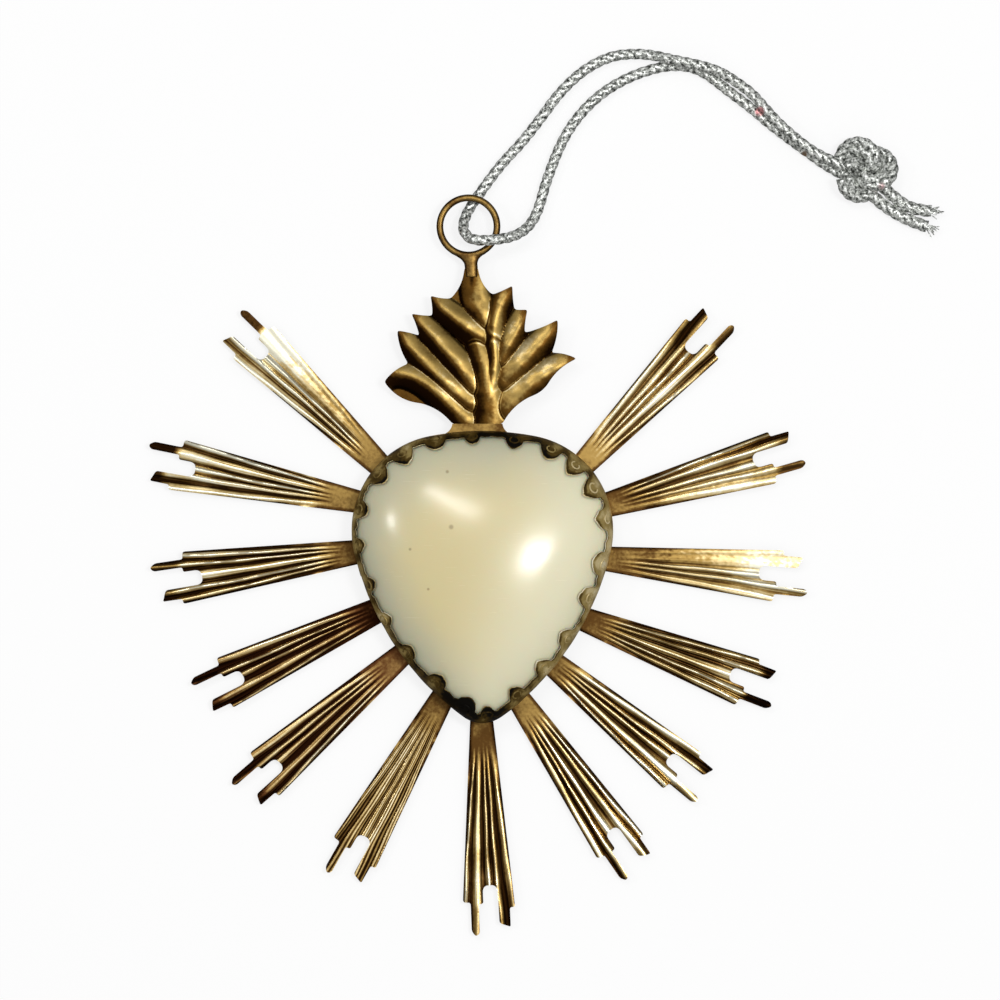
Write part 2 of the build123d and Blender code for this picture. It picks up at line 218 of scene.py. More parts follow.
@dataclass(frozen=True)
class AgedBrass:
    """Gilt brass whose low parts have gone dark; its value runs from 0, dark patina and painted shade, to 1,
    bright metal and painted highlights.
    """

    name: str
    tone: float | None = None
    grain: float = 0.4
    metal: float = 1.0
    gloss: float = 0.5
    stops: Stops = (
        (0.00, (0.012, 0.0045, 0.001, 1)),
        (0.25, (0.085, 0.040, 0.010, 1)),
        (0.50, (0.34, 0.215, 0.062, 1)),
        (0.75, (0.76, 0.585, 0.285, 1)),
        (1.00, (1.0, 0.96, 0.76, 1)),
    )
    stain_scale: float = 300
    speck_scale: float = 2200
    rough: float = 0.42
    polish: float = 0.12

    def material(self) -> Material:
        """Build the shader.

        Returns:
            The material.
        """
        material, graph = new_material(self.name)
        place = graph.place()
        # The mark holds real wear together with painted shade and painted highlights from each piece
        wear = self.tone if self.tone is not None else graph.mark("wear")
        stain = graph.noise(place, self.stain_scale, 4) - 0.5
        speck = graph.noise(place, self.speck_scale, 3) - 0.5
        value = stain * self.grain + speck * (0.5 * self.grain) + wear
        colour: Wire | Colour = self.stops[0][1]
        for (low, _), (high, tint) in zip(self.stops, self.stops[1:]):
            colour = graph.mix(value.step(low, high), colour, tint)
        graph.surface(
            {
                "Base Color": colour,
                "Roughness": self.rough - value.step(0.1, 0.9) * self.polish + speck * self.polish,
                "Metallic": self.metal,
                "Specular IOR Level": self.gloss,
                "Normal": graph.bump(0.1, 0.06 * MM, speck),
            }
        )
        return material


OLIVE_STOPS: Stops = (
    (0.00, (0.004, 0.003, 0.0015, 1)),
    (0.25, (0.085, 0.050, 0.008, 1)),
    (0.50, (0.35, 0.255, 0.085, 1)),
    (0.75, (0.66, 0.54, 0.28, 1)),
    (1.00, (0.90, 0.85, 0.65, 1)),
)

FLAME_STOPS: Stops = (
    (0.00, (0.012, 0.0045, 0.001, 1)),
    (0.25, (0.088, 0.041, 0.007, 1)),
    (0.50, (0.335, 0.224, 0.066, 1)),
    (0.75, (0.68, 0.58, 0.35, 1)),
    (1.00, (0.93, 0.93, 0.84, 1)),
)

RUDDY_STOPS: Stops = (
    (0.00, (0.014, 0.004, 0.0012, 1)),
    (0.25, (0.10, 0.038, 0.012, 1)),
    (0.50, (0.34, 0.205, 0.066, 1)),
    (0.75, (0.76, 0.585, 0.285, 1)),
    (1.00, (1.0, 0.96, 0.76, 1)),
)


@dataclass(frozen=True)
class PolishedStone:
    """Cream stone: yellower in the middle, greyer at its rim, with painted light that makes the side towards
    the right-hand lamp paler, and a few specks.
    """

    name: str
    middle: Colour = (0.67, 0.575, 0.305, 1)
    rim: Colour = (0.52, 0.515, 0.38, 1)
    painted_light_tint: Colour = (0.80, 0.76, 0.54, 1)
    painted_light_side: Point = (1, -0.35, 0)
    dirt: Colour = (0.20, 0.13, 0.05, 1)
    dirt_share: float = 0.55
    specks: tuple[Point, ...] = (
        (-5.2, 15.6, 0.35),
        (-4.6, 7.4, 0.5),
        (-10.7, 4.1, 0.3),
        (-8.0, -1.8, 0.28),
    )

    def material(self) -> Material:
        """Build the shader.

        Returns:
            The material.
        """
        material, graph = new_material(self.name)
        place = graph.place()
        cloud = graph.noise(place, 170, 3) - 0.5
        share = (graph.mark("rim") + cloud * 0.2).step(0.45, 1.05)
        colour = graph.mix(share, self.middle, self.rim)
        # Painted light: the side that faces the right-hand lamp is made paler
        side = graph.vector("DOT_PRODUCT", place, self.painted_light_side)
        colour = graph.mix(side.step(-6 * MM, 15 * MM), colour, self.painted_light_tint)
        flat = graph.vector("MULTIPLY", place, (1, 1, 0), "Vector")
        for x, y, radius in self.specks:
            colour = graph.mix(graph.spot(flat, x, y, radius, 0.3) * self.dirt_share, colour, self.dirt)
        stretched = graph.node("ShaderNodeMapping", None, {"Vector": place, "Scale": (300, 5200, 300)})
        scratch = graph.noise(stretched, 1)
        graph.surface(
            {
                "Base Color": colour,
                "Roughness": scratch.step(0.5, 0.9) * 0.05 + 0.25,
                "Subsurface Weight": 0.25,
                "Subsurface Scale": 2 * MM,
                "Coat Weight": 0.5,
                "Coat Roughness": 0.17,
            }
        )
        return material


@dataclass(frozen=True)
class SilverThread:
    """Metallic thread: flecks painted near white as glints beside gaps painted dark as shade, with the crowns
    of the yarns painted brighter, and a little lint.
    """

    name: str
    gap: Colour = (0.045, 0.05, 0.044, 1)
    thread: Colour = (0.46, 0.475, 0.445, 1)
    painted_glint: Colour = (0.98, 1.0, 0.96, 1)
    lint: tuple[tuple[float, float, float, Colour], ...] = (
        (41.5, 69.6, 0.9, (0.72, 0.25, 0.26, 1)),
        (59.6, 58.3, 0.7, (0.60, 0.42, 0.42, 1)),
        (48.2, 63.2, 0.6, (0.22, 0.12, 0.05, 1)),
    )

    def material(self) -> Material:
        """Build the shader.

        Returns:
            The material.
        """
        material, graph = new_material(self.name)
        place = graph.place()
        fleck = graph.noise(place, 2700, 4)
        # Painted light: yarn crowns lighter, the brightest flecks near white as painted glints, and the gaps
        # dark as painted shade
        value = (fleck - 0.5) * 3.2 + graph.mark("ridge") * 0.4 + 0.23
        colour = graph.mix(value.step(0.0, 0.5), self.gap, self.thread)
        colour = graph.mix(value.step(0.5, 0.9), colour, self.painted_glint)
        flat = graph.vector("MULTIPLY", place, (1, 1, 0), "Vector")
        for x, y, radius, tint in self.lint:
            colour = graph.mix(graph.spot(flat, x, y, radius, 0.4) * fleck.step(0.3, 0.6), colour, tint)
        bump = graph.bump(0.6, 0.15 * MM, fleck)
        graph.surface({"Base Color": colour, "Roughness": 0.32, "Metallic": 0.55, "Normal": bump})
        return material


# Meshes


def set_mark(mesh: Mesh, name: str, values: np.ndarray) -> None:
    """Give each point of a mesh a number."""
    layer = mesh.attributes.new(name, "FLOAT", "POINT")
    layer.data.foreach_set("value", values.astype(np.float32))


def points_of(mesh: Mesh) -> np.ndarray:
    """Points of a mesh, in millimetres."""
    return np.array([vertex.co for vertex in mesh.vertices], dtype=float) / MM


def linked(name: str, data: bpy.types.ID) -> Object:
    """Make an object and link it to the scene.

    Args:
        name: object's name.
        data: its mesh, curve, light or camera.

    Returns:
        The object.
    """
    thing = bpy.data.objects.new(name, data)
    bpy.context.scene.collection.objects.link(thing)
    return thing


@dataclass
class Shape:
    """Points in millimetres, faces and per-point marks of one mesh."""

    points: list[np.ndarray] = field(default_factory=list)
    faces: Faces = field(default_factory=list)
    marks: dict[str, list[np.ndarray]] = field(default_factory=dict)
    count: int = 0

    def add(self, points: np.ndarray, faces: Faces, **marks: np.ndarray) -> "Shape":
        """Add points and faces.

        Args:
            points: rows of x, y, z.
            faces: corner numbers, counted from the first of these points.
            **marks: a number for each point.

        Returns:
            The same shape.
        """
        self.points.append(points)
        self.faces.extend(tuple(corner + self.count for corner in face) for face in faces)
        for name, values in marks.items():
            self.marks.setdefault(name, []).append(values)
        self.count += len(points)
        return self

    def mesh(self, name: str) -> Mesh:
        """Make the mesh, with normals that face outwards.

        Args:
            name: mesh's name.

        Returns:
            The mesh, in metres.
        """
        mesh = bpy.data.meshes.new(name)
        mesh.from_pydata((np.concatenate(self.points) * MM).tolist(), [], self.faces)
        for mark, values in self.marks.items():
            set_mark(mesh, mark, np.concatenate(values))
        work = bmesh.new()
        work.from_mesh(mesh)
        bmesh.ops.recalc_face_normals(work, faces=work.faces)
        work.to_mesh(mesh)
        work.free()
        mesh.shade_smooth()
        mesh.set_sharp_from_angle(angle=SHARP_ANGLE)
        return mesh


def put(
    name: str,
    made: Shape | Mesh,
    material: Material,
    body: Body,
    slot: Slot,
    *nodes: str,
) -> Object:
    """Put a shape or a mesh in the scene as a piece that rides its body.

    Args:
        name: piece's name.
        made: its shape or mesh, in the shared frame.
        material: its finish.
        body: body that it rides.
        slot: its material slot; not used.
        *nodes: CAD nodes that it replaces.

    Returns:
        The piece.
    """
    mesh = made.mesh(name) if isinstance(made, Shape) else made
    piece = linked(name, mesh)
    mesh.materials.clear()
    mesh.materials.append(material)
    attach(piece, body.value)
    if nodes:
        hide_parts(*nodes)
    return piece


def ring_faces(rows: int, columns: int, closed: bool = False, capped: bool = False) -> Faces:
    """Faces of a tube grid whose columns close on themselves.

    Args:
        rows: number of rings.
        columns: points in each ring.
        closed: whether the last ring joins the first.
        capped: whether the first and the last ring are filled.

    Returns:
        Corner numbers of each face.
    """
    faces = []
    for row in range(rows if closed else rows - 1):
        ahead = (row + 1) % rows
        for column in range(columns):
            beside = (column + 1) % columns
            corners = (row, column), (row, beside), (ahead, beside), (ahead, column)
            faces.append(tuple(r * columns + c for r, c in corners))
    if capped:
        faces.append(tuple(range(columns))[::-1])
        faces.append(tuple(range((rows - 1) * columns, rows * columns)))
    return faces


def full_turn(count: int) -> np.ndarray:
    """Evenly spaced directions of one turn, in radians."""
    return np.linspace(0, 2 * math.pi, count, endpoint=False)


def smooth_step(value: np.ndarray, low: float, high: float) -> np.ndarray:
    """Smooth step of an array that gives 0 at the low value and 1 at the high one."""
    share = np.clip((value - low) / (high - low), 0, 1)
    return share * share * (3 - 2 * share)


def bell(value: np.ndarray | float, middle: float, width: float) -> np.ndarray:
    """Bell curve that is 1 at its middle."""
    return np.exp(-(((value - middle) / width) ** 2))


def bent(start: np.ndarray, bend: np.ndarray, end: np.ndarray, share: np.ndarray) -> np.ndarray:
    """Points at shares of a curve that is drawn towards its bend."""
    share = share[:, None]
    return start * (1 - share) ** 2 + bend * 2 * share * (1 - share) + end * share**2


def rounded(corners: list[Point], spacing: float) -> np.ndarray:
    """Closed outline with rounded corners.

    Args:
        corners: x, y and how far back from the corner the rounding starts.
        spacing: distance between the points.

    Returns:
        Points of the outline.
    """
    points: list[np.ndarray] = []
    total = len(corners)
    for index in range(total):
        here = np.array(corners[index][:2])
        cut = corners[index][2]
        before = np.array(corners[index - 1][:2]) - here
        after = np.array(corners[(index + 1) % total][:2]) - here
        start = here + before / np.linalg.norm(before) * cut
        end = here + after / np.linalg.norm(after) * cut
        steps = max(2, int(2 * cut / spacing) + 1)
        points.extend(bent(start, here, end, np.linspace(0, 1, steps)) if cut > 0 else [here])
    return spaced(np.array(points), spacing, closed=True)


def spaced(points: np.ndarray, spacing: float, closed: bool = False) -> np.ndarray:
    """Points at an even spacing along a line.

    Args:
        points: points of the line.
        spacing: wanted distance.
        closed: whether the line ends where it starts.

    Returns:
        The new points; a closed line's first point isn't repeated.
    """
    line = np.vstack((points, points[:1])) if closed else points
    lengths = np.concatenate(([0], np.cumsum(np.linalg.norm(np.diff(line, axis=0), axis=1))))
    steps = max(2, int(round(lengths[-1] / spacing)))
    where = np.linspace(0, lengths[-1], steps + 1)
    new = np.column_stack([np.interp(where, lengths, line[:, axis]) for axis in range(line.shape[1])])
    return new[:-1] if closed else new


def filled(outline: np.ndarray, inner: np.ndarray) -> tuple[np.ndarray, Faces]:
    """Triangles inside an outline, with inner points.

    Args:
        outline: closed outline.
        inner: points that are kept where they lie inside.

    Returns:
        The points and the triangles.
    """
    inside = np.zeros(len(inner), dtype=bool)
    for (x0, y0), (x1, y1) in zip(outline, np.roll(outline, -1, axis=0)):
        spans = (y0 > inner[:, 1]) != (y1 > inner[:, 1])
        across = x0 + (inner[:, 1] - y0) / (y1 - y0 if y1 != y0 else 1) * (x1 - x0)
        inside ^= spans & (inner[:, 0] < across)
    points = [Vector(point) for point in np.vstack((outline, inner[inside]))]
    loop = [list(range(len(outline)))]
    flat, _, faces, *_ = delaunay_2d_cdt(points, [], loop, 1, 1e-6)
    return np.array([point[:] for point in flat]), [tuple(face) for face in faces]


def slab(flat: np.ndarray, faces: Faces, top: np.ndarray, under: np.ndarray, wear: np.ndarray) -> Shape:
    """Closed sheet over a triangulated plan.

    Args:
        flat: plan points.
        faces: triangles of the plan.
        top: height of the upper side at each point.
        under: height of the lower side.
        wear: brightness mark of the upper side.

    Returns:
        The sheet.
    """
    count = len(flat)
    edges = {(a, b): None for face in faces for a, b in zip(face, face[1:] + face[:1])}
    rim = [(start, end) for start, end in edges if (end, start) not in edges]
    every = list(faces)
    every += [tuple(corner + count for corner in face[::-1]) for face in faces]
    every += [(start + count, end + count, end, start) for start, end in rim]
    points = np.vstack((np.column_stack((flat, top)), np.column_stack((flat, under))))
    return Shape().add(points, every, wear=np.concatenate((wear, np.full(count, UNDERSIDE_WEAR))))


def nearest(flat: np.ndarray, line: np.ndarray) -> tuple[np.ndarray, np.ndarray]:
    """Nearest place on a line.

    Args:
        flat: plan points.
        line: points of the line.

    Returns:
        Distance to the line, and the share of the line where it is nearest.
    """
    way = np.diff(line, axis=0)
    gap = flat[:, None] - line[None, :-1]
    part = np.clip((gap * way).sum(axis=2) / (way**2).sum(axis=1), 0, 1)
    away = np.linalg.norm(gap - part[:, :, None] * way, axis=2)
    rows = np.arange(len(flat))
    best = away.argmin(axis=1)
    return away[rows, best], (best + part[rows, best]) / len(way)


def strand(path: np.ndarray, radius: float, plies: int, lay: float, sides: int = 20) -> Shape:
    """Twisted cord along a path, closed at both ends.

    Args:
        path: evenly spaced points in millimetres.
        radius: outer radius.
        plies: yarns that are laid round each other.
        lay: length of one turn of a yarn.
        sides: points round the cord.

    Returns:
        The cord's shape, with its "ridge" mark.
    """
    along = np.gradient(path, axis=0)
    along /= np.linalg.norm(along, axis=1)[:, None]
    normal = np.cross(along[0], (0.0, 0.0, 1.0))
    normal /= np.linalg.norm(normal)
    steps = np.concatenate(([0], np.cumsum(np.linalg.norm(np.diff(path, axis=0), axis=1))))
    turn = full_turn(sides)
    rings = []
    ridges = []
    # The section is carried along without a turn, and the yarns turn with the length
    for point, forward, length in zip(path, along, steps):
        normal = normal - forward * np.dot(normal, forward)
        normal /= np.linalg.norm(normal)
        side = np.cross(forward, normal)
        twist = turn - 2 * math.pi * length / lay
        ridge = np.abs(np.cos(plies / 2 * twist)) ** 0.7
        reach = radius * (YARN_CORE + YARN_SWELL * ridge)
        rings.append(point + (np.outer(np.cos(turn), normal) + np.outer(np.sin(turn), side)) * reach[:, None])
        ridges.append(ridge)
    points = np.vstack((*rings, path[:1] - along[0] * CORD_END, path[-1:] + along[-1] * CORD_END))
    faces = ring_faces(len(path), sides)
    start = len(path) * sides
    last = start - sides
    for column in range(sides):
        beside = (column + 1) % sides
        faces.append((start, beside, column))
        faces.append((start + 1, last + column, last + beside))
    return Shape().add(points, faces, ridge=np.concatenate((*ridges, [0.5, 0.5])))


def baked(holder: Object, *spare: Object) -> Mesh:
    """Plain mesh of an object with its modifiers; the object is then removed.

    Args:
        holder: object with modifiers.
        *spare: other objects that are no longer needed.

    Returns:
        The evaluated mesh.
    """
    graph = bpy.context.evaluated_depsgraph_get()
    graph.update()
    mesh = bpy.data.meshes.new_from_object(holder.evaluated_get(graph), depsgraph=graph)
    mesh.name = holder.name
    for item in (holder, *spare):
        bpy.data.objects.remove(item)
    return mesh


def instances(
    name: str,
    places: list[np.ndarray],
    turns: list[Point],
    unit: Mesh,
    material: Material,
    vary: float,
    marks: dict[str, np.ndarray] | None = None,
) -> Mesh:
    """Repeat a small mesh at points with geometry nodes.

    Args:
        name: name of the result.
        places: points in millimetres.
        turns: Euler angles for each point.
        unit: mesh that is repeated.
        material: finish of the result.
        vary: largest share by which the size varies.
        marks: numbers that each repeat passes on to its points.

    Returns:
        A plain mesh of all repeats.
    """
    # Points that carry their turns and marks
    mesh = bpy.data.meshes.new(name + " places")
    mesh.from_pydata((np.array(places) * MM).tolist(), [], [])
    layer = mesh.attributes.new("turn", "FLOAT_VECTOR", "POINT")
    layer.data.foreach_set("vector", np.array(turns, dtype=np.float32).ravel())
    for mark, values in (marks or {}).items():
        set_mark(mesh, mark, values)
    # Node group with named inputs and a fixed seed
    tree = bpy.data.node_groups.new(name, "GeometryNodeTree")
    graph = Graph(tree)
    kinds = {"Places": "Geometry", "Unit": "Object", "Smallest": "Float", "Largest": "Float"}
    keys = {}
    for title, kind in kinds.items():
        socket = tree.interface.new_socket(title, in_out="INPUT", socket_type=f"NodeSocket{kind}")
        keys[title] = socket.identifier
    tree.interface.new_socket("Result", in_out="OUTPUT", socket_type="NodeSocketGeometry")
    outputs = graph.node("NodeGroupInput").socket.node.outputs
    entry = {title: Wire(graph, outputs[title]) for title in keys}
    turn = graph.node("GeometryNodeInputNamedAttribute", {"data_type": "FLOAT_VECTOR"}, {"Name": "turn"})
    limits = {2: entry["Smallest"], 3: entry["Largest"], "Seed": 7}
    size = graph.node("FunctionNodeRandomValue", {"data_type": "FLOAT"}, limits, 1)
    shape = graph.node("GeometryNodeObjectInfo", None, {"Object": entry["Unit"]}, "Geometry")
    repeats = graph.node(
        "GeometryNodeInstanceOnPoints",
        None,
        {"Points": entry["Places"], "Instance": shape, "Rotation": turn, "Scale": size},
    )
    solid = graph.node("GeometryNodeRealizeInstances", None, {0: repeats})
    done = graph.node("GeometryNodeSetMaterial", None, {"Geometry": solid, "Material": material})
    graph.node("NodeGroupOutput", None, {0: done})
    # Modifier on a holder, which is baked into a plain mesh
    unit_object = linked(name + " unit", unit)
    holder = linked(name + " holder", mesh)
    modifier = holder.modifiers.new("Repeat", "NODES")
    modifier.node_group = tree
    modifier[keys["Unit"]] = unit_object
    modifier[keys["Smallest"]] = 1 - vary
    modifier[keys["Largest"]] = 1 + vary
    return baked(holder, unit_object)


# The ornament


@dataclass(frozen=True)
class HeartOutline:
    """Plan of the setting: a rounded triangle of touching arcs, in millimetres about its centre."""

    shoulder: tuple[float, float] = (5.2, 6.85)
    shoulder_radius: float = 14.4
    tip_y: float = -17.0
    tip_radius: float = 5.0
    top_radius: float = 42.0
    side_radius: float = 43.0
    arc_points: int = 160

    def loop(self, inset: float = 0.0) -> np.ndarray:
        """Points of the outline, clockwise from the middle of its top.

        Args:
            inset: distance by which it is drawn in.

        Returns:
            Points of the closed line.
        """
        shoulder = np.array(self.shoulder)
        tip = np.array((0.0, self.tip_y))
        drop = math.sqrt((self.top_radius - self.shoulder_radius) ** 2 - shoulder[0] ** 2)
        top = np.array((0.0, shoulder[1] - drop))
        gap = tip - shoulder
        length = np.linalg.norm(gap)
        to_first = self.side_radius - self.shoulder_radius
        to_second = self.side_radius - self.tip_radius
        # Centre of the side arc, which the circles of the shoulder and the tip touch from within
        forth = (to_first**2 - to_second**2 + length**2) / (2 * length)
        across = math.sqrt(to_first**2 - forth**2)
        side = shoulder + gap / length * forth + np.array((gap[1], -gap[0])) / length * across
        joints = ((top, shoulder), (side, shoulder), (side, tip))
        turns = [math.pi / 2, *(math.atan2(*(end - start)[::-1]) for start, end in joints), -math.pi / 2]
        centres = (top, shoulder, side, tip)
        radii = (self.top_radius, self.shoulder_radius, self.side_radius, self.tip_radius)
        right = []
        for centre, radius, start, end in zip(centres, radii, turns, turns[1:]):
            turn = np.linspace(start, end, self.arc_points)
            right.append(centre + (radius - inset) * np.column_stack((np.cos(turn), np.sin(turn))))
        half = np.concatenate(right)
        return np.concatenate((half, half[-2:0:-1] * (-1, 1)))

    def radius(self, turn: np.ndarray, inset: float = 0.0) -> np.ndarray:
        """Distance from the centre to the outline.

        Args:
            turn: directions in radians.
            inset: distance by which the outline is drawn in.

        Returns:
            The distances.
        """
        loop = self.loop(inset)
        angle = np.arctan2(loop[:, 1], loop[:, 0])
        order = np.argsort(angle)
        return np.interp(turn, angle[order], np.hypot(*loop[order].T), period=2 * math.pi)

    def wall(self, start: np.ndarray, forward: np.ndarray) -> float:
        """Distance from an inner point to the outline.

        Args:
            start: point inside.
            forward: direction.

        Returns:
            The distance along the direction.
        """
        far = np.linspace(5, 40, 3501)
        points = start + far[:, None] * forward
        inside = np.hypot(*points.T) < self.radius(np.arctan2(points[:, 1], points[:, 0]))
        return float(far[inside].max())


HEART = HeartOutline()
HEART_TOP = float(HEART.loop()[0, 1])
RAY_LEVEL = 0.5
CUP_LEVEL = 1.25
GIRDLE_LEVEL = 3.45
DOME_RISE = 7.5


def dome_height(share: np.ndarray, rise: float) -> np.ndarray:
    """Level of a dome that rises over the girdle, from its middle (0) to the outline (1)."""
    return GIRDLE_LEVEL + rise * np.sqrt(np.clip(1 - share**2, 0, 1))


@dataclass(frozen=True)
class Cabochon:
    """The polished stone."""

    inset: float = 0.5
    sides: int = 288
    rings: int = 80
    pole: float = 0.012

    def build(self) -> Shape:
        """Make the dome, its girdle and its flat underside.

        Returns:
            The stone's shape, with its "rim" mark.
        """
        turn = full_turn(self.sides)
        reach = HEART.radius(turn, self.inset)
        share = np.sin(np.linspace(math.pi / 2, self.pole, self.rings))[:, None]
        blend = smooth_step(share, 0.0, 1.0)
        level = dome_height(share * reach / (reach * blend + reach.mean() * (1 - blend)), DOME_RISE)
        plan = share * reach
        rows = np.stack((plan * np.cos(turn), plan * np.sin(turn), level), axis=2).reshape(-1, 3)
        floor = np.column_stack((reach * np.cos(turn), reach * np.sin(turn), np.full(self.sides, CUP_LEVEL)))
        rim = np.concatenate((np.ones(self.sides), np.repeat(share[:, 0], self.sides)))
        faces = ring_faces(self.rings + 1, self.sides, capped=True)
        return Shape().add(np.vstack((floor, rows)), faces, rim=rim)

    def dress(self, material: Material) -> None:
        """Put the stone in the scene with its finish."""
        put("stone_dome", self.build(), material, Body.ORNAMENT, Slot.STONE, "cabochon")


@dataclass(frozen=True)
class Bezel:
    """Scalloped gallery strip that is folded over the edge of the stone.

    Each lobe has a bearing in degrees, half its width and its reach; valleys and tones go by bearing.
    """

    lobes: tuple[Point, ...] = (
        (94, 1.5, 2.0), (77, 1.8, 2.5), (62, 2.3, 3.0), (50, 2.3, 3.1), (38, 2.4, 3.2), (24, 2.3, 2.6),
        (5, 2.4, 2.5), (-12, 2.2, 2.6), (-36, 2.0, 2.4), (-55, 1.9, 2.5), (-72, 1.7, 2.6), (-87, 1.9, 2.7),
        (-99, 2.4, 3.2), (-115, 2.0, 2.8), (-135, 1.8, 2.3), (-156, 1.5, 1.8), (-175, 1.4, 1.8),
        (167, 1.6, 2.0), (152, 1.9, 2.3), (136, 2.3, 2.7), (123, 2.4, 2.9), (109, 2.1, 2.2),
    )
    wall: float = 0.4
    cover: float = 0.5
    ragged: float = 0.07
    valleys: tuple[tuple[float, ...], tuple[float, ...]] = (
        (-180, -135, -100, -70, -30, 0, 60, 90, 135, 180),
        (0.8, 1.0, 1.7, 1.2, 0.9, 0.9, 1.0, 0.9, 0.9, 0.8),
    )
    tones: tuple[tuple[float, ...], tuple[float, ...]] = (
        (-180, -160, -140, -120, -100, -80, -60, -30, 20, 45, 80, 120, 180),
        (0.32, 0.45, 0.15, 0.3, -0.2, 0.1, 0.45, 0.54, 0.64, 0.33, -0.02, 0.31, 0.32),
    )
    waves: tuple[tuple[int, float], ...] = ((7, 0.05), (17, 0.06), (31, 0.07), (53, 0.06))
    shares: tuple[float, ...] = (0.0, 0.12, 0.25, 0.4, 0.55, 0.7, 0.8, 0.88, 0.93, 0.96, 1.0)
    edge_tone: float = 0.42
    inner_painted_shade: float = 0.4
    steps: int = 1100
    mark_half: tuple[float, float] = (0.62, 0.7)
    mark_wire: float = 0.11

    def _line(self) -> tuple[np.ndarray, np.ndarray, np.ndarray]:
        """Evenly spaced outline, its inward directions and its bearings.

        Returns:
            Points, unit vectors and angles in radians.
        """
        loop = HEART.loop()
        length = len(spaced(loop, 1.0, closed=True))
        line = spaced(loop, length / self.steps, closed=True)
        along = np.roll(line, -1, axis=0) - np.roll(line, 1, axis=0)
        along /= np.linalg.norm(along, axis=1)[:, None]
        inward = np.column_stack((along[:, 1], -along[:, 0]))
        return line, inward, np.arctan2(line[:, 1], line[:, 0])

    def _middle(self, bearing: np.ndarray, lobe: float) -> int:
        """Number of the outline's point at a lobe's bearing."""
        return int(np.argmin(np.abs(np.angle(np.exp(1j * (bearing - math.radians(lobe)))))))

    def _on_dome(self, plan: np.ndarray, lift: float) -> np.ndarray:
        """Lift plan points to a height over the outside of the folded strip."""
        share = np.hypot(*plan.T) / HEART.radius(np.arctan2(plan[:, 1], plan[:, 0]))
        return np.column_stack((plan, dome_height(share, DOME_RISE + self.cover) + lift))

    def build(self) -> Shape:
        """Sweep the strip's section round the outline.

        Returns:
            The strip's shape, with its "wear" mark.
        """
        line, inward, bearing = self._line()
        count = len(line)
        spacing = np.linalg.norm(line[1] - line[0])
        degrees = np.degrees(bearing)
        # Lobes over the valleys, with a ragged edge
        valley = np.interp(degrees, *self.valleys)
        reach = valley.copy()
        for lobe, half, tall in self.lobes:
            away = (np.arange(count) - self._middle(bearing, lobe) + count // 2) % count - count // 2
            far = np.abs(away * spacing / half)
            bump = 0.7 * np.sqrt(np.clip(1 - (1.3 * far) ** 2, 0, 1)) + 0.3 * np.clip(1 - far, 0, 1)
            reach = np.maximum(reach, valley + np.maximum(tall - valley, 0.3) * bump)
        random = np.random.default_rng(5)
        reach = reach + self.ragged * np.convolve(random.normal(0, 1, count + 6), np.ones(7) / 2.6, "valid")
        # Tones by bearing, partly patina and partly painted sheen where the strip faces the light on the
        # right, with waves that dent the wall a little as well
        tone = np.interp(degrees, *self.tones)
        for waves, tall in self.waves:
            tone = tone + tall * np.sin(waves * bearing + waves)
            line = line + inward * (0.02 + 0.02 * np.sin(waves * bearing * 0.5 + waves))[:, None]
        # Up the outer side to the edge, then down the inner side
        rows = [np.column_stack((line, np.full(count, CUP_LEVEL)))]
        wear = [tone]
        for share in self.shares:
            # Painted light and shade: a painted highlight on the outer bead and a painted shadow line just
            # inside the edge
            bead = 0.1 * bell(share, 0.94, 0.08) + 0.08 * bell(share, 0.2, 0.12)
            painted_light_and_shade = 0.14 * bell(share, 0.2, 0.12) - 0.3 * bell(share, 0.86, 0.08)
            rows.append(self._on_dome(line + inward * (reach * share)[:, None], bead))
            wear.append(tone + (self.edge_tone if share > 0.95 else painted_light_and_shade))
        for share in (1.0, 0.5):
            inner = line + inward * np.maximum(reach * share, self.wall)[:, None]
            rows.append(self._on_dome(inner, -self.wall))
        for level in (GIRDLE_LEVEL - 0.4, CUP_LEVEL):
            rows.append(np.column_stack((line + inward * self.wall, np.full(count, level))))
        # Painted shade: the inner side, under the lobes and down against the stone, is made darker
        wear += [tone * self.inner_painted_shade] * 4
        faces = ring_faces(len(rows), count, closed=True)
        return Shape().add(np.vstack(rows), faces, wear=np.concatenate(wear))

    def marks(self, material: Material) -> Mesh:
        """Raised horseshoe on each lobe.

        Args:
            material: finish of the marks.

        Returns:
            One mesh with all marks.
        """
        line, inward, bearing = self._line()
        places = []
        turns = []
        for lobe, half, tall in self.lobes:
            middle = self._middle(bearing, lobe)
            start = tall - 0.75 * half
            near, far = self._on_dome(line[middle] + inward[middle] * np.array([[start], [start + 0.2]]), 0.0)
            rise = Vector(far - near).normalized()
            side = Vector((-inward[middle][1], inward[middle][0], 0))
            places.append(near)
            turns.append(Matrix((rise, side, rise.cross(side))).transposed().to_euler()[:])
        arc = np.radians(np.linspace(-140, 140, 24))
        wide, tall = self.mark_half
        path = np.column_stack((wide * np.cos(arc), tall * np.sin(arc), np.full(24, 0.02)))
        unit = strand(path, self.mark_wire, 2, 1e6, 8)
        unit.marks = {}
        bearings = np.array(self.lobes)[:, 0]
        # Painted highlight on the marks that face the light at the upper right
        bright = 0.06 + np.interp(bearings, *self.tones) + 0.4 * bell(bearings, 52, 25)
        return instances("lobe_marks", places, turns, unit.mesh("Mark"), material, 0.1, {"wear": bright})

    def dress(self, material: Material) -> None:
        """Put the strip and its marks in the scene with their finish."""
        put("bezel_strip", self.build(), material, Body.ORNAMENT, Slot.BRASS, "bezel")
        put("lobe_marks", self.marks(material), material, Body.ORNAMENT, Slot.BRASS)


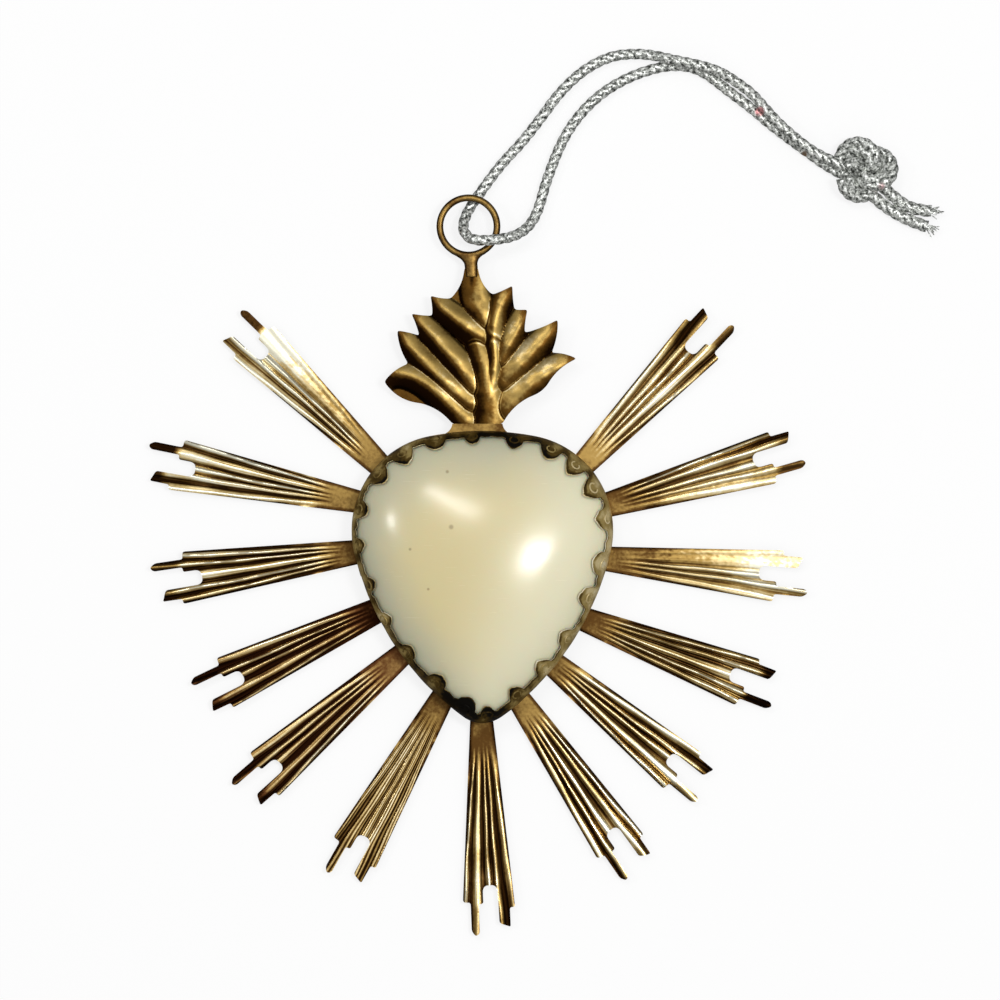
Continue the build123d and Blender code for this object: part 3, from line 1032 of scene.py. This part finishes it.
@dataclass(frozen=True)
class Ray:
    """One fluted ray, drawn along x with its blade's end at 0; tones run from dark (0) to bright (1).

    The tones are those of the root, the middle and the end. The side tone brightens the left edge and
    darkens the right one, tarnish darkens the thin and the wide tongue, and plain is how far the flutes
    are missing on the left (above 0) or on the right (below 0).
    """

    number: int
    bearing: float
    offset: float
    reach: float
    tones: Point
    contrast: float
    side_tone: float = 0.0
    roll: float = 0.0
    depth: float = 0.5
    tarnish: tuple[float, float] = (0.4, 0.4)
    plain: float = 0.0
    fine: float = 0.1

    blade: float = 30.0
    root_half: float = 1.5
    end_half: float = 3.9
    sheet: float = 0.35
    lift: float = 0.35
    flute_start: float = -24.0
    flute_apex: float = -36.0
    flute_pitch: float = 1.72
    thin_tongue: float = 5.1
    grid: tuple[float, float] = (0.42, 0.13)
    tone_places: Point = (-19, -9, -2)
    edge_dark: float = 0.35
    edge_width: float = 0.24
    painted_notch_highlight: float = 0.25
    mottling: float = 0.14
    tarnish_tone: float = -0.05

    def outline(self) -> np.ndarray:
        """Stamped outline: a widening blade with a notch between a thin and a wide tongue.

        Returns:
            Points in the ray's own plane.
        """
        corners = [
            (-self.blade, -self.root_half, 0.0),
            (0.0, -self.end_half, 0.3),
            (0.15, -2.75, 0.35),
            (4.4, -2.75, 0.2),
            (self.thin_tongue + 0.1, -2.15, 0.3),
            (4.75, -1.55, 0.2),
            (0.3, -1.55, 0.35),
            (0.4, -0.85, 0.2),
            (-2.4, -0.85, 1.05),
            (-2.4, 1.35, 1.05),
            (3.3, 1.475, 0.2),
            (4.0, 3.125, 0.25),
            (0.95, 3.125, 0.4),
            (1.0, self.end_half, 0.3),
            (-self.blade, self.root_half, 0.0),
        ]
        return rounded(corners, 0.22)

    def _surface(self, flat: np.ndarray) -> tuple[np.ndarray, np.ndarray]:
        """Relief and tone of the fanned flutes.

        Args:
            flat: plan points of the ray.

        Returns:
            Height and "wear" mark at each point.
        """
        random = np.random.default_rng(self.number)
        x, y = flat.T
        # Flutes that fan out from one apex and wander a little
        share = np.maximum(1 - x / self.flute_apex, 0.15)
        phase = y / share / self.flute_pitch
        phase = phase + 0.06 * np.sin(x * 0.25 + random.uniform(0, 6)) + 0.03 * np.sin(x * 0.7 + phase * 3)
        phase = phase + 0.14 * np.sin(2.3 * phase + random.uniform(0, 6))
        # Flutes fade towards the root and are missing on a plain side
        half = np.interp(x, (-self.blade, 0), (self.root_half, self.end_half))
        kept = 1 - abs(self.plain) * smooth_step(math.copysign(1, self.plain) * y / half, 0.0, 0.4)
        grown = smooth_step(x, self.flute_start + 1, self.flute_start + 7) * kept
        crest = (0.5 + 0.5 * np.cos(2 * math.pi * phase)) ** random.uniform(0.6, 1.0)
        fine = np.cos(2 * math.pi * phase * 4.0 + random.uniform(0, 6))
        vary = np.interp(phase, np.arange(-7, 8), random.uniform(-0.3, 0.3, 15))
        # The sheet lifts and rolls towards its end
        height = RAY_LEVEL + self.sheet + self.lift * np.clip(1 - x / self.flute_start, 0, 1.3)
        height = height + grown * share * (self.depth * (crest - 0.5) * (1 + 0.5 * vary) + 0.02 * fine)
        height = height + grown * math.tan(math.radians(self.roll)) * y
        height = np.maximum(height, RAY_LEVEL + self.sheet)
        # Crests bright and valleys dark, partly rubbed metal and patina and partly painted highlight and
        # shade, with fine streaks over the tones of root, middle and end
        streak = np.sin(y / share * 11 + np.sin(x * 0.2) + random.uniform(0, 6))
        streak = streak + np.sin(y / share * 19 + 0.4 * np.sin(x * 0.33) + random.uniform(0, 6))
        ridge = crest - 0.5 + vary * 0.6 + self.fine * fine
        marked = smooth_step(x, self.flute_start, self.flute_start + 5) * kept
        wear = np.interp(x, self.tone_places, self.tones)
        wear = wear + self.contrast * marked * (ridge + 0.1 * streak)
        wear = wear + self.side_tone * y / 3.5 * smooth_step(x, -16, 2)
        # Dark edges, a painted highlight beside the notch, stains on a plain side and tarnished tongues
        wear = wear - self.edge_dark * bell(half - np.abs(y), 0, self.edge_width) * (x < 0.5)
        wear = wear + self.painted_notch_highlight * bell(x, -3.2, 1.6) * bell(y, 0.25, 1.9)
        mottle = np.sin(3.7 * x + 2 * np.sin(3 * y)) * np.sin(4.3 * y + 2 * np.sin(1.7 * x))
        mottle = (1 - kept) * mottle * smooth_step(x, self.flute_start, self.flute_start + 8)
        wear = wear + self.mottling * mottle
        thin, wide = self.tarnish
        dark = np.where(y < 0, thin * smooth_step(x, 0.0, 1.6), wide * smooth_step(x, 1.2, 3.0))
        return height, wear * (1 - dark) + self.tarnish_tone * dark

    def build(self) -> Shape:
        """Make the fluted sheet and set it on its bearing.

        Returns:
            The ray's shape in the shared frame, with its "wear" mark.
        """
        along = np.arange(-self.blade + 0.2, self.thin_tongue, self.grid[0])
        across = np.arange(-4.2, 4.2, self.grid[1])
        x, w = np.meshgrid(along, across, indexing="ij")
        inner = np.column_stack((x.ravel(), (w * (1 - x / self.flute_apex)).ravel()))
        flat, faces = filled(self.outline(), inner)
        height, wear = self._surface(flat)
        shape = slab(flat, faces, height, height - self.sheet, wear)
        turn = math.radians(self.bearing)
        forward = np.array((math.cos(turn), math.sin(turn)))
        left = np.array((-forward[1], forward[0]))
        start = left * self.offset
        end = start + forward * (HEART.wall(start, forward) + self.reach - self.thin_tongue)
        points = shape.points[0]
        points[:, :2] = end + points[:, :1] * forward + points[:, 1:2] * left
        return shape

    def dress(self, material: Material) -> None:
        """Put the ray in the scene with its finish."""
        number = f"{self.number:02d}"
        put("ray_sheet_" + number, self.build(), material, Body.ORNAMENT, Slot.BRASS, "ray_" + number)


# Number, bearing, offset, reach, tones, contrast, side tone, roll, depth, tarnish, plain and fine
RAYS = (
    Ray(1, 46.6, 0.5, 30.2, (0.44, 0.66, 0.25), 0.75, -0.15, 1.0, 0.5, (0.55, 0.0)),
    Ray(2, 16.0, 5.1, 30.0, (0.32, 0.75, 0.50), 0.80, -0.25, 2.0, 0.5, (0.6, 0.45), -0.5),
    Ray(3, -5.7, 4.4, 30.1, (0.36, 0.62, 0.81), 0.60, 0.05, 1.5, 0.35, (0.1, 0.0), 0.85, 0.25),
    Ray(4, -21.0, -0.6, 30.7, (0.28, 0.28, 0.48), 0.75, -0.12, -1.0, 0.4, (1.0, 0.95), 0.0, 0.3),
    Ray(5, -39.6, -3.4, 29.4, (0.37, 0.37, 0.45), 0.95, -0.15, 0.5, 0.55, (0.3, 0.6)),
    Ray(6, -55.4, -6.0, 31.0, (0.39, 0.42, 0.56), 0.95, 0.05, -0.5, 0.55, (0.15, 0.25)),
    Ray(7, -87.7, -1.0, 31.9, (0.29, 0.38, 0.36), 0.85, -0.15, 0.5, 0.5, (0.3, 0.3)),
    Ray(8, -119.6, 3.8, 31.1, (0.31, 0.39, 0.27), 0.50, 0.1, -0.5, 0.22, (0.0, 0.0), 0.0, 0.8),
    Ray(9, -139.0, 1.0, 31.9, (0.36, 0.34, 0.23), 0.95, 0.0, 0.5, 0.5, (0.5, 0.85)),
    Ray(10, -154.6, -2.1, 29.6, (0.04, 0.29, 0.05), 0.95, 0.0, -0.5, 0.5, (0.75, 0.7)),
    Ray(11, -171.6, -6.3, 30.6, (0.31, 0.33, 0.31), 1.10, -0.1, -1.0, 0.5, (0.55, 0.35)),
    Ray(12, 168.5, -7.2, 32.1, (0.44, 0.57, 0.61), 1.10, 0.0, 0.0, 0.5, (1.0, 0.8)),
    Ray(13, 135.7, -1.1, 30.8, (0.43, 0.73, 1.00), 0.85, -0.25, 1.0, 0.45, (0.85, 0.15), -0.85, 0.2),
)
RUDDY_RAYS = (9, 10)


@dataclass(frozen=True)
class Flame:
    """Chased flame; places are measured from the middle of its foot, and edges bow out to their right.

    Each rib has its tip, its bend, its root and half its width at the root. The lights are short steps
    in plan towards the light, for the left and for the right tongues.
    """

    foot: tuple[float, float] = (-0.75, HEART_TOP + 1.05)
    back: float = 1.95
    sheet: float = 0.5
    relief: float = 1.0
    tip_half: float = 1.5
    crest_round: float = 0.6
    valley: float = 9.0
    blunt: int = 4
    grid: float = 0.13
    jitter: float = 0.02
    tone: float = 0.22
    painted_crease_shade: float = 0.2
    glint_light: float = 0.3
    seam_dark: float = 0.35
    tip_dark: float = 0.3
    light: tuple[float, float] = (0.06, 0.05)
    right_light: tuple[float, float] = (-0.05, 0.06)
    start: tuple[float, float] = (-1.95, 23.4)
    edge: tuple[Point, ...] = (
        (-4.05, 18.75, -0.5), (-7.05, 19.2, -0.15), (-6.75, 16.2, -0.1), (-9.9, 16.5, -0.1),
        (-8.7, 13.2, -0.1), (-12.0, 13.95, 0.1), (-10.35, 9.0, 0.35), (-13.95, 6.3, 0.35),
        (-8.55, 3.1, 0.75), (-3.75, 0.0, -0.5), (3.75, 0.0, 0.0), (7.95, 4.1, -0.5),
        (10.5, 5.9, 0.25), (14.85, 9.75, -0.5), (11.1, 10.65, 0.25), (12.0, 15.6, 0.3),
        (7.05, 13.65, -0.2), (7.5, 17.1, -0.1), (5.55, 17.1, -0.05), (5.25, 20.7, -0.1),
        (2.25, 19.35, -0.1), (0.1, 23.4, -0.5), (-1.95, 23.4, 0.0),
    )
    ribs: tuple[tuple[tuple[float, float], tuple[float, float], tuple[float, float], float], ...] = (
        ((-7.05, 19.05), (-3.3, 15.3), (0.9, 13.05), 2.1),
        ((-9.9, 16.35), (-4.5, 11.4), (-0.6, 5.7), 2.2),
        ((-11.85, 13.65), (-7.35, 8.1), (-1.35, 3.3), 2.1),
        ((-13.65, 6.6), (-9.75, 9.6), (-1.95, 0.6), 2.0),
        ((-0.2, 12.6), (1.3, 9.0), (1.7, -0.5), 2.7),
        ((1.5, 15.9), (3.3, 11.0), (1.8, 4.0), 1.3),
        ((-1.05, 23.7), (-0.75, 18.6), (1.35, 15.3), 2.2),
        ((5.25, 20.55), (1.8, 17.4), (2.4, 11.1), 1.7),
        ((7.35, 16.95), (5.25, 13.35), (3.45, 9.6), 1.7),
        ((12.0, 15.3), (7.95, 10.2), (3.9, 6.75), 2.2),
        ((14.55, 9.75), (10.2, 8.4), (4.35, 2.6), 2.3),
    )

    def outline(self) -> np.ndarray:
        """Plan of the flame.

        Returns:
            Points of the closed line.
        """
        here = np.array(self.start)
        points = []
        for x, y, bow in self.edge:
            end = np.array((x, y))
            way = end - here
            right = np.array((way[1], -way[0])) / np.linalg.norm(way)
            bend = (here + end) / 2 + right * 2 * bow
            points.append(bent(here, bend, end, np.linspace(0, 1, 24, endpoint=False)))
            here = end
        line = spaced(np.concatenate(points), 0.2, closed=True)
        for _ in range(self.blunt):
            line = (np.roll(line, 1, axis=0) + 2 * line + np.roll(line, -1, axis=0)) / 4
        return line

    def _relief(self, flat: np.ndarray) -> tuple[np.ndarray, np.ndarray, np.ndarray, np.ndarray]:
        """Height of the ribs, from 0 to 1.

        Args:
            flat: plan points.

        Returns:
            Height of the highest and the next rib, how near the point is to a crest, and the eased height.
        """
        heights = []
        crests = []
        core = math.sqrt(self.crest_round)
        fall = math.sqrt(1 + self.crest_round) - core
        for *bends, half in self.ribs:
            tip, bend, root = np.array(bends)
            away, near = nearest(flat, bent(tip, bend, root, np.linspace(0, 1, 60)))
            wide = 1.3 * (self.tip_half + (half - self.tip_half) * near)
            tall = np.interp(near, (0, 0.35, 0.7, 1), (0.6, 0.95, 1.0, 0.75))
            slant = np.sqrt((away / wide) ** 2 + self.crest_round) - core
            heights.append(tall * np.clip(1 - slant / fall, 0, 1))
            crests.append(tall * bell(away, 0, 0.4))
        ranked = np.sort(np.array(heights), axis=0)
        soft = np.log(np.exp(self.valley * np.array(heights)).sum(axis=0)) / self.valley
        soft = np.maximum(ranked[-1], soft - math.log(len(heights)) / self.valley * (1 - ranked[-1]))
        return ranked[-1], ranked[-2], np.max(crests, axis=0), soft

    def _surface(self, flat: np.ndarray) -> tuple[np.ndarray, np.ndarray]:
        """Level and tone of the chased upper side; the tone holds painted shade and painted highlights.

        Args:
            flat: plan points.

        Returns:
            Height and "wear" mark at each point.
        """
        best, second, crest, soft = self._relief(flat)
        x, y = flat.T
        # Slopes towards the light, from which the flanks' painted shade is set; the right tongues are lit
        # across their crests
        slope, across = (
            (self._relief(flat + way)[3] - soft) / math.hypot(*way) for way in (self.light, self.right_light)
        )
        right = smooth_step(x, 2.5, 5.0)
        neck = bell(x, -0.9, 2.4) * smooth_step(y, 15.5, 18.5)
        slope = ((1 - right) * slope + 0.5 * right * across) * (1 - 0.8 * neck)
        # Ribs with small dents, lower at the neck
        dents = np.sin(2.1 * x + 1.3 * y) * np.sin(1.7 * y - 0.9 * x + 1)
        top = self.back + self.sheet * (0.5 + 0.5 * smooth_step(best, 0, 0.3))
        top = top + self.relief * np.minimum(soft, 1) * (1 - 0.5 * neck + 0.03 * dents)
        # Painted shade in the creases and painted highlights along lines between the ribs, but not over the
        # trunk
        apart = 1 - bell(x, 2.3, 1.4) * bell(y, 8.0, 4.5)
        crease_shade = apart * bell(best - second, 0, 0.06) * smooth_step(best, 0.05, 0.3)
        glint = apart * bell(best - second, 0.1, 0.05) * smooth_step(second, 0.05, 0.4)
        trunk = bell(x, 1.6, 2) * (1 - smooth_step(y, 10, 14))
        seam = bell(x, -0.8, 0.4) * smooth_step(y, 19.0, 21.5)
        tips = [np.array(rib[0]) for rib in self.ribs if abs(rib[0][0]) > 4]
        tip = bell(np.min([np.hypot(*(flat - place).T) for place in tips], axis=0), 0, 1.3)
        # Painted light and shade: higher ribs and crests lighter, flanks that face away from the light
        # darker, the right side a little lighter
        wear = self.tone + 0.1 * best + 0.08 * crest - np.clip(slope, -0.2, 0.6)
        wear = wear + self.glint_light * glint + 0.08 * smooth_step(x, 3, 7) - self.painted_crease_shade * crease_shade
        return top, wear - 0.05 * trunk - self.seam_dark * seam - self.tip_dark * tip

    def build(self) -> Shape:
        """Raise the ribs over the plan.

        Returns:
            The flame's shape, with its "wear" mark.
        """
        grid = np.meshgrid(np.arange(-14.5, 15.5, self.grid), np.arange(0.1, 23.4, self.grid))
        inner = np.stack(grid, axis=2).reshape(-1, 2)
        random = np.random.default_rng(3)
        flat, faces = filled(self.outline(), inner + random.uniform(-self.jitter, self.jitter, inner.shape))
        top, wear = self._surface(flat)
        return slab(flat + np.array(self.foot), faces, top, np.full(len(flat), self.back), wear)

    def dress(self, material: Material) -> None:
        """Put the flame in the scene with its finish."""
        put("flame_relief", self.build(), material, Body.ORNAMENT, Slot.BRASS, "flame")


@dataclass(frozen=True)
class HangingRing:
    """Wire ring with a stem that flares into it; the stem's rows are x, y from the ring and half width."""

    centre: Point = (-2.1, HEART_TOP + 30.6, 2.575)
    radius: float = 4.28
    wire: float = 1.05
    stem: tuple[Point, ...] = (
        (-1.6, -7.6, 0.95),
        (-1.675, -6.1, 1.0),
        (-1.75, -5.5, 1.02),
        (-1.9, -4.9, 1.35),
        (-2.05, -4.4, 2.0),
        (-2.1, -4.1, 2.6),
    )
    sides: int = 20
    segments: int = 120
    voxel: float = 0.11

    def build(self) -> Mesh:
        """Join the ring and its stem and smooth the joint.

        Returns:
            The mesh, with its "wear" mark, which here is only painted light and shade.
        """
        x, y, z = self.centre
        half = self.wire / 2
        turn = full_turn(self.sides)
        rise = z + half * np.sin(turn)
        reach = self.radius + half * np.cos(turn)
        ring = [
            np.column_stack((x + reach * math.cos(a), y + reach * math.sin(a), rise))
            for a in full_turn(self.segments)
        ]
        stem = [
            np.column_stack((middle + wide * np.cos(turn), np.full(self.sides, y + drop), rise))
            for middle, drop, wide in self.stem
        ]
        shape = Shape().add(np.vstack(ring), ring_faces(len(ring), self.sides, closed=True))
        shape.add(np.vstack(stem), ring_faces(len(stem), self.sides, capped=True))
        holder = linked("ring", shape.mesh("Ring parts"))
        remesh = holder.modifiers.new("Join", "REMESH")
        remesh.mode = "VOXEL"
        remesh.voxel_size = self.voxel * MM
        ease = holder.modifiers.new("Ease", "SMOOTH")
        ease.factor = 0.5
        ease.iterations = 6
        mesh = baked(holder)
        mesh.shade_smooth()
        # Painted light and shade: the wire is lighter on its top and darker below
        share = (points_of(mesh)[:, 2] - z) / half
        set_mark(mesh, "wear", 0.06 + 0.34 * smooth_step(share, 0.0, 1.0))
        return mesh

    def dress(self, material: Material) -> None:
        """Put the ring in the scene with its finish."""
        put("ring", self.build(), material, Body.ORNAMENT, Slot.BRASS, "hanging_ring")


# The cord


@dataclass(frozen=True)
class CordLoop:
    """Silver cord from the knot through the ring and back, its knot and its frayed tails."""

    diameter: float = 1.6
    length: float = 154.0
    plies: int = 3
    lay: float = 4.4
    spacing: float = 0.16
    tail_swell: float = 1.15
    route: tuple[Point, ...] = (
        (54.4, 61.3, 2.75), (52.1, 62.2, 2.55), (49.2, 63.7, 2.5), (46.3, 66.0, 2.55), (44.1, 68.0, 2.5),
        (42.3, 70.1, 2.1), (40.4, 72.4, 1.2), (38.1, 74.1, 1.1), (35.7, 75.5, 1.95), (33.2, 76.3, 2.5),
        (30.9, 76.8, 2.6), (28.4, 77.3, 2.5), (26.0, 78.0, 1.55), (23.0, 78.4, 0.85), (19.1, 78.0, 0.85),
        (15.1, 75.9, 0.85), (11.6, 72.6, 0.85), (8.7, 68.6, 0.85), (5.8, 64.9, 0.85), (3.0, 62.0, 0.85),
        (0.8, 59.1, 0.85), (-0.9, 56.7, 0.85), (-2.1, 54.9, 1.05), (-2.8, 53.2, 1.85), (-2.9, 51.7, 2.85),
        (-2.0, 50.5, 3.75), (-0.4, 50.1, 4.25), (2.3, 50.3, 4.25), (4.4, 50.7, 3.55), (6.3, 51.7, 2.45),
        (7.7, 53.4, 1.45), (8.6, 55.6, 0.9), (9.3, 58.3, 0.85), (10.3, 61.2, 0.85), (11.4, 64.0, 0.85),
        (13.0, 67.1, 0.85), (15.4, 70.2, 0.85), (18.5, 72.9, 0.85), (22.1, 74.9, 0.85), (25.9, 76.2, 0.85),
        (28.6, 76.6, 0.85), (31.2, 76.4, 0.85), (33.3, 75.5, 0.85), (35.1, 74.2, 0.85), (37.1, 72.6, 0.85),
        (39.3, 71.0, 0.85), (41.5, 69.2, 0.85), (43.6, 67.4, 0.85), (46.0, 65.6, 0.85), (49.0, 63.4, 0.85),
        (51.6, 61.5, 0.85), (54.0, 60.2, 0.9),
    )
    tails: tuple[tuple[Point, ...], ...] = (
        (
            (59.1, 59.3, 1.3), (60.4, 58.0, 1.0), (61.9, 56.7, 0.85), (63.7, 55.4, 0.85), (65.6, 54.9, 0.85),
            (67.3, 54.7, 0.9),
        ),
        (
            (57.6, 58.0, 1.3), (58.9, 56.6, 1.0), (60.6, 55.3, 0.85), (62.5, 54.1, 0.85), (64.6, 53.1, 0.85),
            (66.7, 52.4, 0.9),
        ),
    )
    knot_place: Point = (57.1, 60.9, 2.25)
    knot_radius: float = 2.5
    knot_bulge: float = 1.3
    knot_span: tuple[float, float] = (100, 445)
    wisps: int = 18
    wisp_spread: float = 0.4
    wisp_turn: float = 0.3
    wisp_radius: float = 0.07

    def _curve(self, name: str, points: tuple[Point, ...]) -> np.ndarray:
        """Points of the smooth line that the given points control.

        Args:
            name: curve's name.
            points: control points in millimetres.

        Returns:
            Closely spaced points in millimetres.
        """
        data = bpy.data.curves.new(name, "CURVE")
        data.dimensions = "3D"
        line = data.splines.new("NURBS")
        line.points.add(len(points) - 1)
        for point, place in zip(line.points, points):
            point.co = (*(value * MM for value in place), 1)
        line.order_u = 3
        line.use_endpoint_u = True
        line.resolution_u = 16
        mesh = baked(linked(name, data))
        smooth = points_of(mesh)
        bpy.data.meshes.remove(mesh)
        return spaced(smooth, self.spacing)

    def _knot(self) -> list[np.ndarray]:
        """Lines of the overhand knot, whose cord lies double.

        Returns:
            Closely spaced points of each line, in millimetres.
        """
        turn = np.radians(np.linspace(*self.knot_span, 160))
        angle = 2 * turn + math.radians(5)
        lines = []
        for aside in (-0.6, 0.6):
            reach = self.knot_radius + aside + self.knot_bulge * np.cos(3 * turn)
            rise = -self.knot_bulge * np.sin(3 * turn) + 0.25 * aside
            line = np.column_stack((reach * np.cos(angle), reach * np.sin(angle), rise))
            lines.append(spaced(line + np.array(self.knot_place), self.spacing))
        return lines

    def _strands(self, lines: list[np.ndarray], radius: float) -> Shape:
        """Twisted cords along lines.

        Args:
            lines: evenly spaced points of each cord.
            radius: their radius.

        Returns:
            One shape with all cords.
        """
        shape = Shape()
        for line in lines:
            cord = strand(line, radius, self.plies, self.lay)
            shape.add(cord.points[0], cord.faces, ridge=cord.marks["ridge"][0])
        return shape

    def _wisps(self, lines: list[np.ndarray], material: Material) -> Mesh:
        """Loose threads at the ends of the tails.

        Args:
            lines: points of each tail.
            material: finish of the threads.

        Returns:
            One mesh with all threads.
        """
        random = np.random.default_rng(11)
        places = []
        turns = []
        for line in lines:
            heading = math.atan2(*(line[-1] - line[-6])[1::-1])
            for _ in range(self.wisps):
                aside = random.uniform(-self.wisp_spread, self.wisp_spread, 3)
                places.append(line[-1] + aside * (1, 1, 0.6))
                roll, dip = random.uniform(0, 6.3), random.uniform(-0.1, 0.0)
                turns.append((roll, dip, heading + random.normal(0, self.wisp_turn)))
        along = np.linspace(-0.6, 1.2, 12)
        path = np.column_stack((along, 0.08 * along**2, 0.05 * np.sin(along * 2)))
        unit = strand(path, self.wisp_radius, 2, 3.0, 6)
        return instances("frayed_ends", places, turns, unit.mesh("Thread"), material, 0.35)

    def dress(self, material: Material) -> None:
        """Args:
            material: its finish.
        """
        radius = self.diameter / 2
        own = (material, Body.CORD, Slot.CORD)
        path = self._curve("Cord line", self.route)
        cord = put("cord_strand", self._strands([path], radius), *own, "cord_loop")
        knot = put("cord_overhand", self._strands(self._knot(), radius), *own, "cord_knot")
        swell = self.tail_swell * radius
        lines = [self._curve("Tail line", points) + (0, 0, swell - radius) for points in self.tails]
        tails = put("cord_ends", self._strands(lines, swell), *own, "cord_tails")
        wisps = put("frayed_ends", self._wisps(lines, material), *own)


# The studio


@dataclass(frozen=True)
class Softbox:
    """Area light that faces the ornament."""

    name: str
    aim: Point
    watts: float
    wide: float
    tall: float
    spin: float = 0.0
    away: float = 0.6

    def build(self) -> None:
        """Put the light in the scene."""
        data = bpy.data.lights.new(self.name, "AREA")
        data.shape = "RECTANGLE"
        data.size = self.wide
        data.size_y = self.tall
        data.energy = self.watts
        light = linked(self.name, data)
        aim = Vector(self.aim).normalized()
        light.location = aim * self.away
        turn = Quaternion((0, 0, 1), math.radians(self.spin))
        light.rotation_euler = (aim.to_track_quat("Z", "Y") @ turn).to_euler()


@dataclass(frozen=True)
class Studio:
    """Pale floor, soft lights and a camera straight above; lengths but the centre are in metres."""

    centre: tuple[float, float] = (2.625, 11.4)
    height: float = 0.70
    span: float = 0.150
    sensor: float = 36
    ambient: float = 0.6
    horizon: float = 0.15
    lean: float = 0.2
    table_half: float = 1.5
    table_level: float = -0.0002
    table_glow: float = 0.8
    table_mirror: float = 0.12
    boxes: tuple[Softbox, ...] = (
        Softbox("Right box", (0.345, 0.075, 0.936), 1.0, 0.09, 0.12, -25),
        Softbox("Upper box", (-0.165, 0.43, 0.888), 0.5, 0.2, 0.04, -50),
        Softbox("Left box", (-0.637, 0.234, 0.734), 0.25, 0.04, 0.05),
    )

    def build(self) -> None:
        """Make the floor, the world, the lights and the camera."""
        for box in self.boxes:
            box.build()
        self._floor()
        self._world()
        data = bpy.data.cameras.new("Camera")
        data.sensor_width = self.sensor
        data.lens = self.sensor * (self.height - MM) / self.span
        camera = linked("Camera", data)
        camera.location = (self.centre[0] * MM, self.centre[1] * MM, self.height)
        bpy.context.scene.camera = camera
        bpy.context.scene.view_settings.view_transform = "Standard"

    def _floor(self) -> None:
        """Make the white table, which mirrors itself as dark in the metal."""
        material, graph = new_material("table")
        surface = graph.node("ShaderNodeBsdfDiffuse", None, {"Color": (0.95, 0.95, 0.95, 1)})
        glow, dark = (
            graph.node("ShaderNodeEmission", None, {"Color": (1, 1, 1, 1), "Strength": strength})
            for strength in (1.0, self.table_mirror)
        )
        seen = graph.node("ShaderNodeLightPath", out="Is Camera Ray") * self.table_glow
        mixed = graph.node("ShaderNodeMixShader", None, {0: seen, 1: surface, 2: glow})
        mirrored = graph.node("ShaderNodeLightPath", out="Is Glossy Ray")
        mixed = graph.node("ShaderNodeMixShader", None, {0: mirrored, 1: mixed, 2: dark})
        graph.node("ShaderNodeOutputMaterial", None, {0: mixed})
        mesh = bpy.data.meshes.new("table")
        signs = ((-1, -1), (1, -1), (1, 1), (-1, 1))
        corners = [(x * self.table_half, y * self.table_half, self.table_level) for x, y in signs]
        mesh.from_pydata(corners, [], [(0, 1, 2, 3)])
        mesh.materials.append(material)
        linked("table", mesh)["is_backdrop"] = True

    def _world(self) -> None:
        """Make the even light of the room, a little brighter on the right."""
        world = bpy.data.worlds.new("Room")
        world.use_nodes = True
        graph = Graph(world.node_tree)
        way = graph.node("ShaderNodeTexCoord", out="Generated")
        right, up = (graph.node("ShaderNodeSeparateXYZ", None, {0: way}, axis) for axis in "XZ")
        strength = up.step(0.15, 0.95) * (self.ambient + right * self.lean) + self.horizon
        light = graph.node("ShaderNodeBackground", None, {"Color": (1, 1, 1, 1), "Strength": strength})
        graph.node("ShaderNodeOutputWorld", None, {0: light})
        bpy.context.scene.world = world


def dress_plain(material: Material, *nodes: str) -> None:
    """Give CAD nodes that stay in view their finish.

    Args:
        material: the finish.
        *nodes: names of the nodes.
    """
    for name in nodes:
        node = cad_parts[name]
        node.data.materials.clear()
        node.data.materials.append(material)


def main() -> None:
    """Build the whole scene."""
    logging.basicConfig(level=logging.INFO)
    brass = AgedBrass("Aged brass").material()
    plain = AgedBrass("Plain brass", tone=0.36).material()
    chased = AgedBrass("Chased brass", stops=FLAME_STOPS).material()
    ruddy = AgedBrass("Ruddy brass", stops=RUDDY_STOPS).material()
    olive = AgedBrass("Olive brass", metal=0.35, gloss=0.15, grain=0.55, stops=OLIVE_STOPS).material()
    stone = PolishedStone("Cream stone").material()
    thread = SilverThread("Silver thread").material()
    Studio().build()
    Cabochon().dress(stone)
    Bezel().dress(olive)
    for ray in RAYS:
        ray.dress(ruddy if ray.number in RUDDY_RAYS else brass)
    Flame().dress(chased)
    HangingRing().dress(brass)
    CordLoop().dress(thread)
    dress_plain(plain, "flame_collar", "setting_base", "back_plate")
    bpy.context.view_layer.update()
    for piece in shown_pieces():
        LOG.info("%s: %d faces", piece.name, len(piece.data.polygons))


if __name__ == "__main__":
    main()
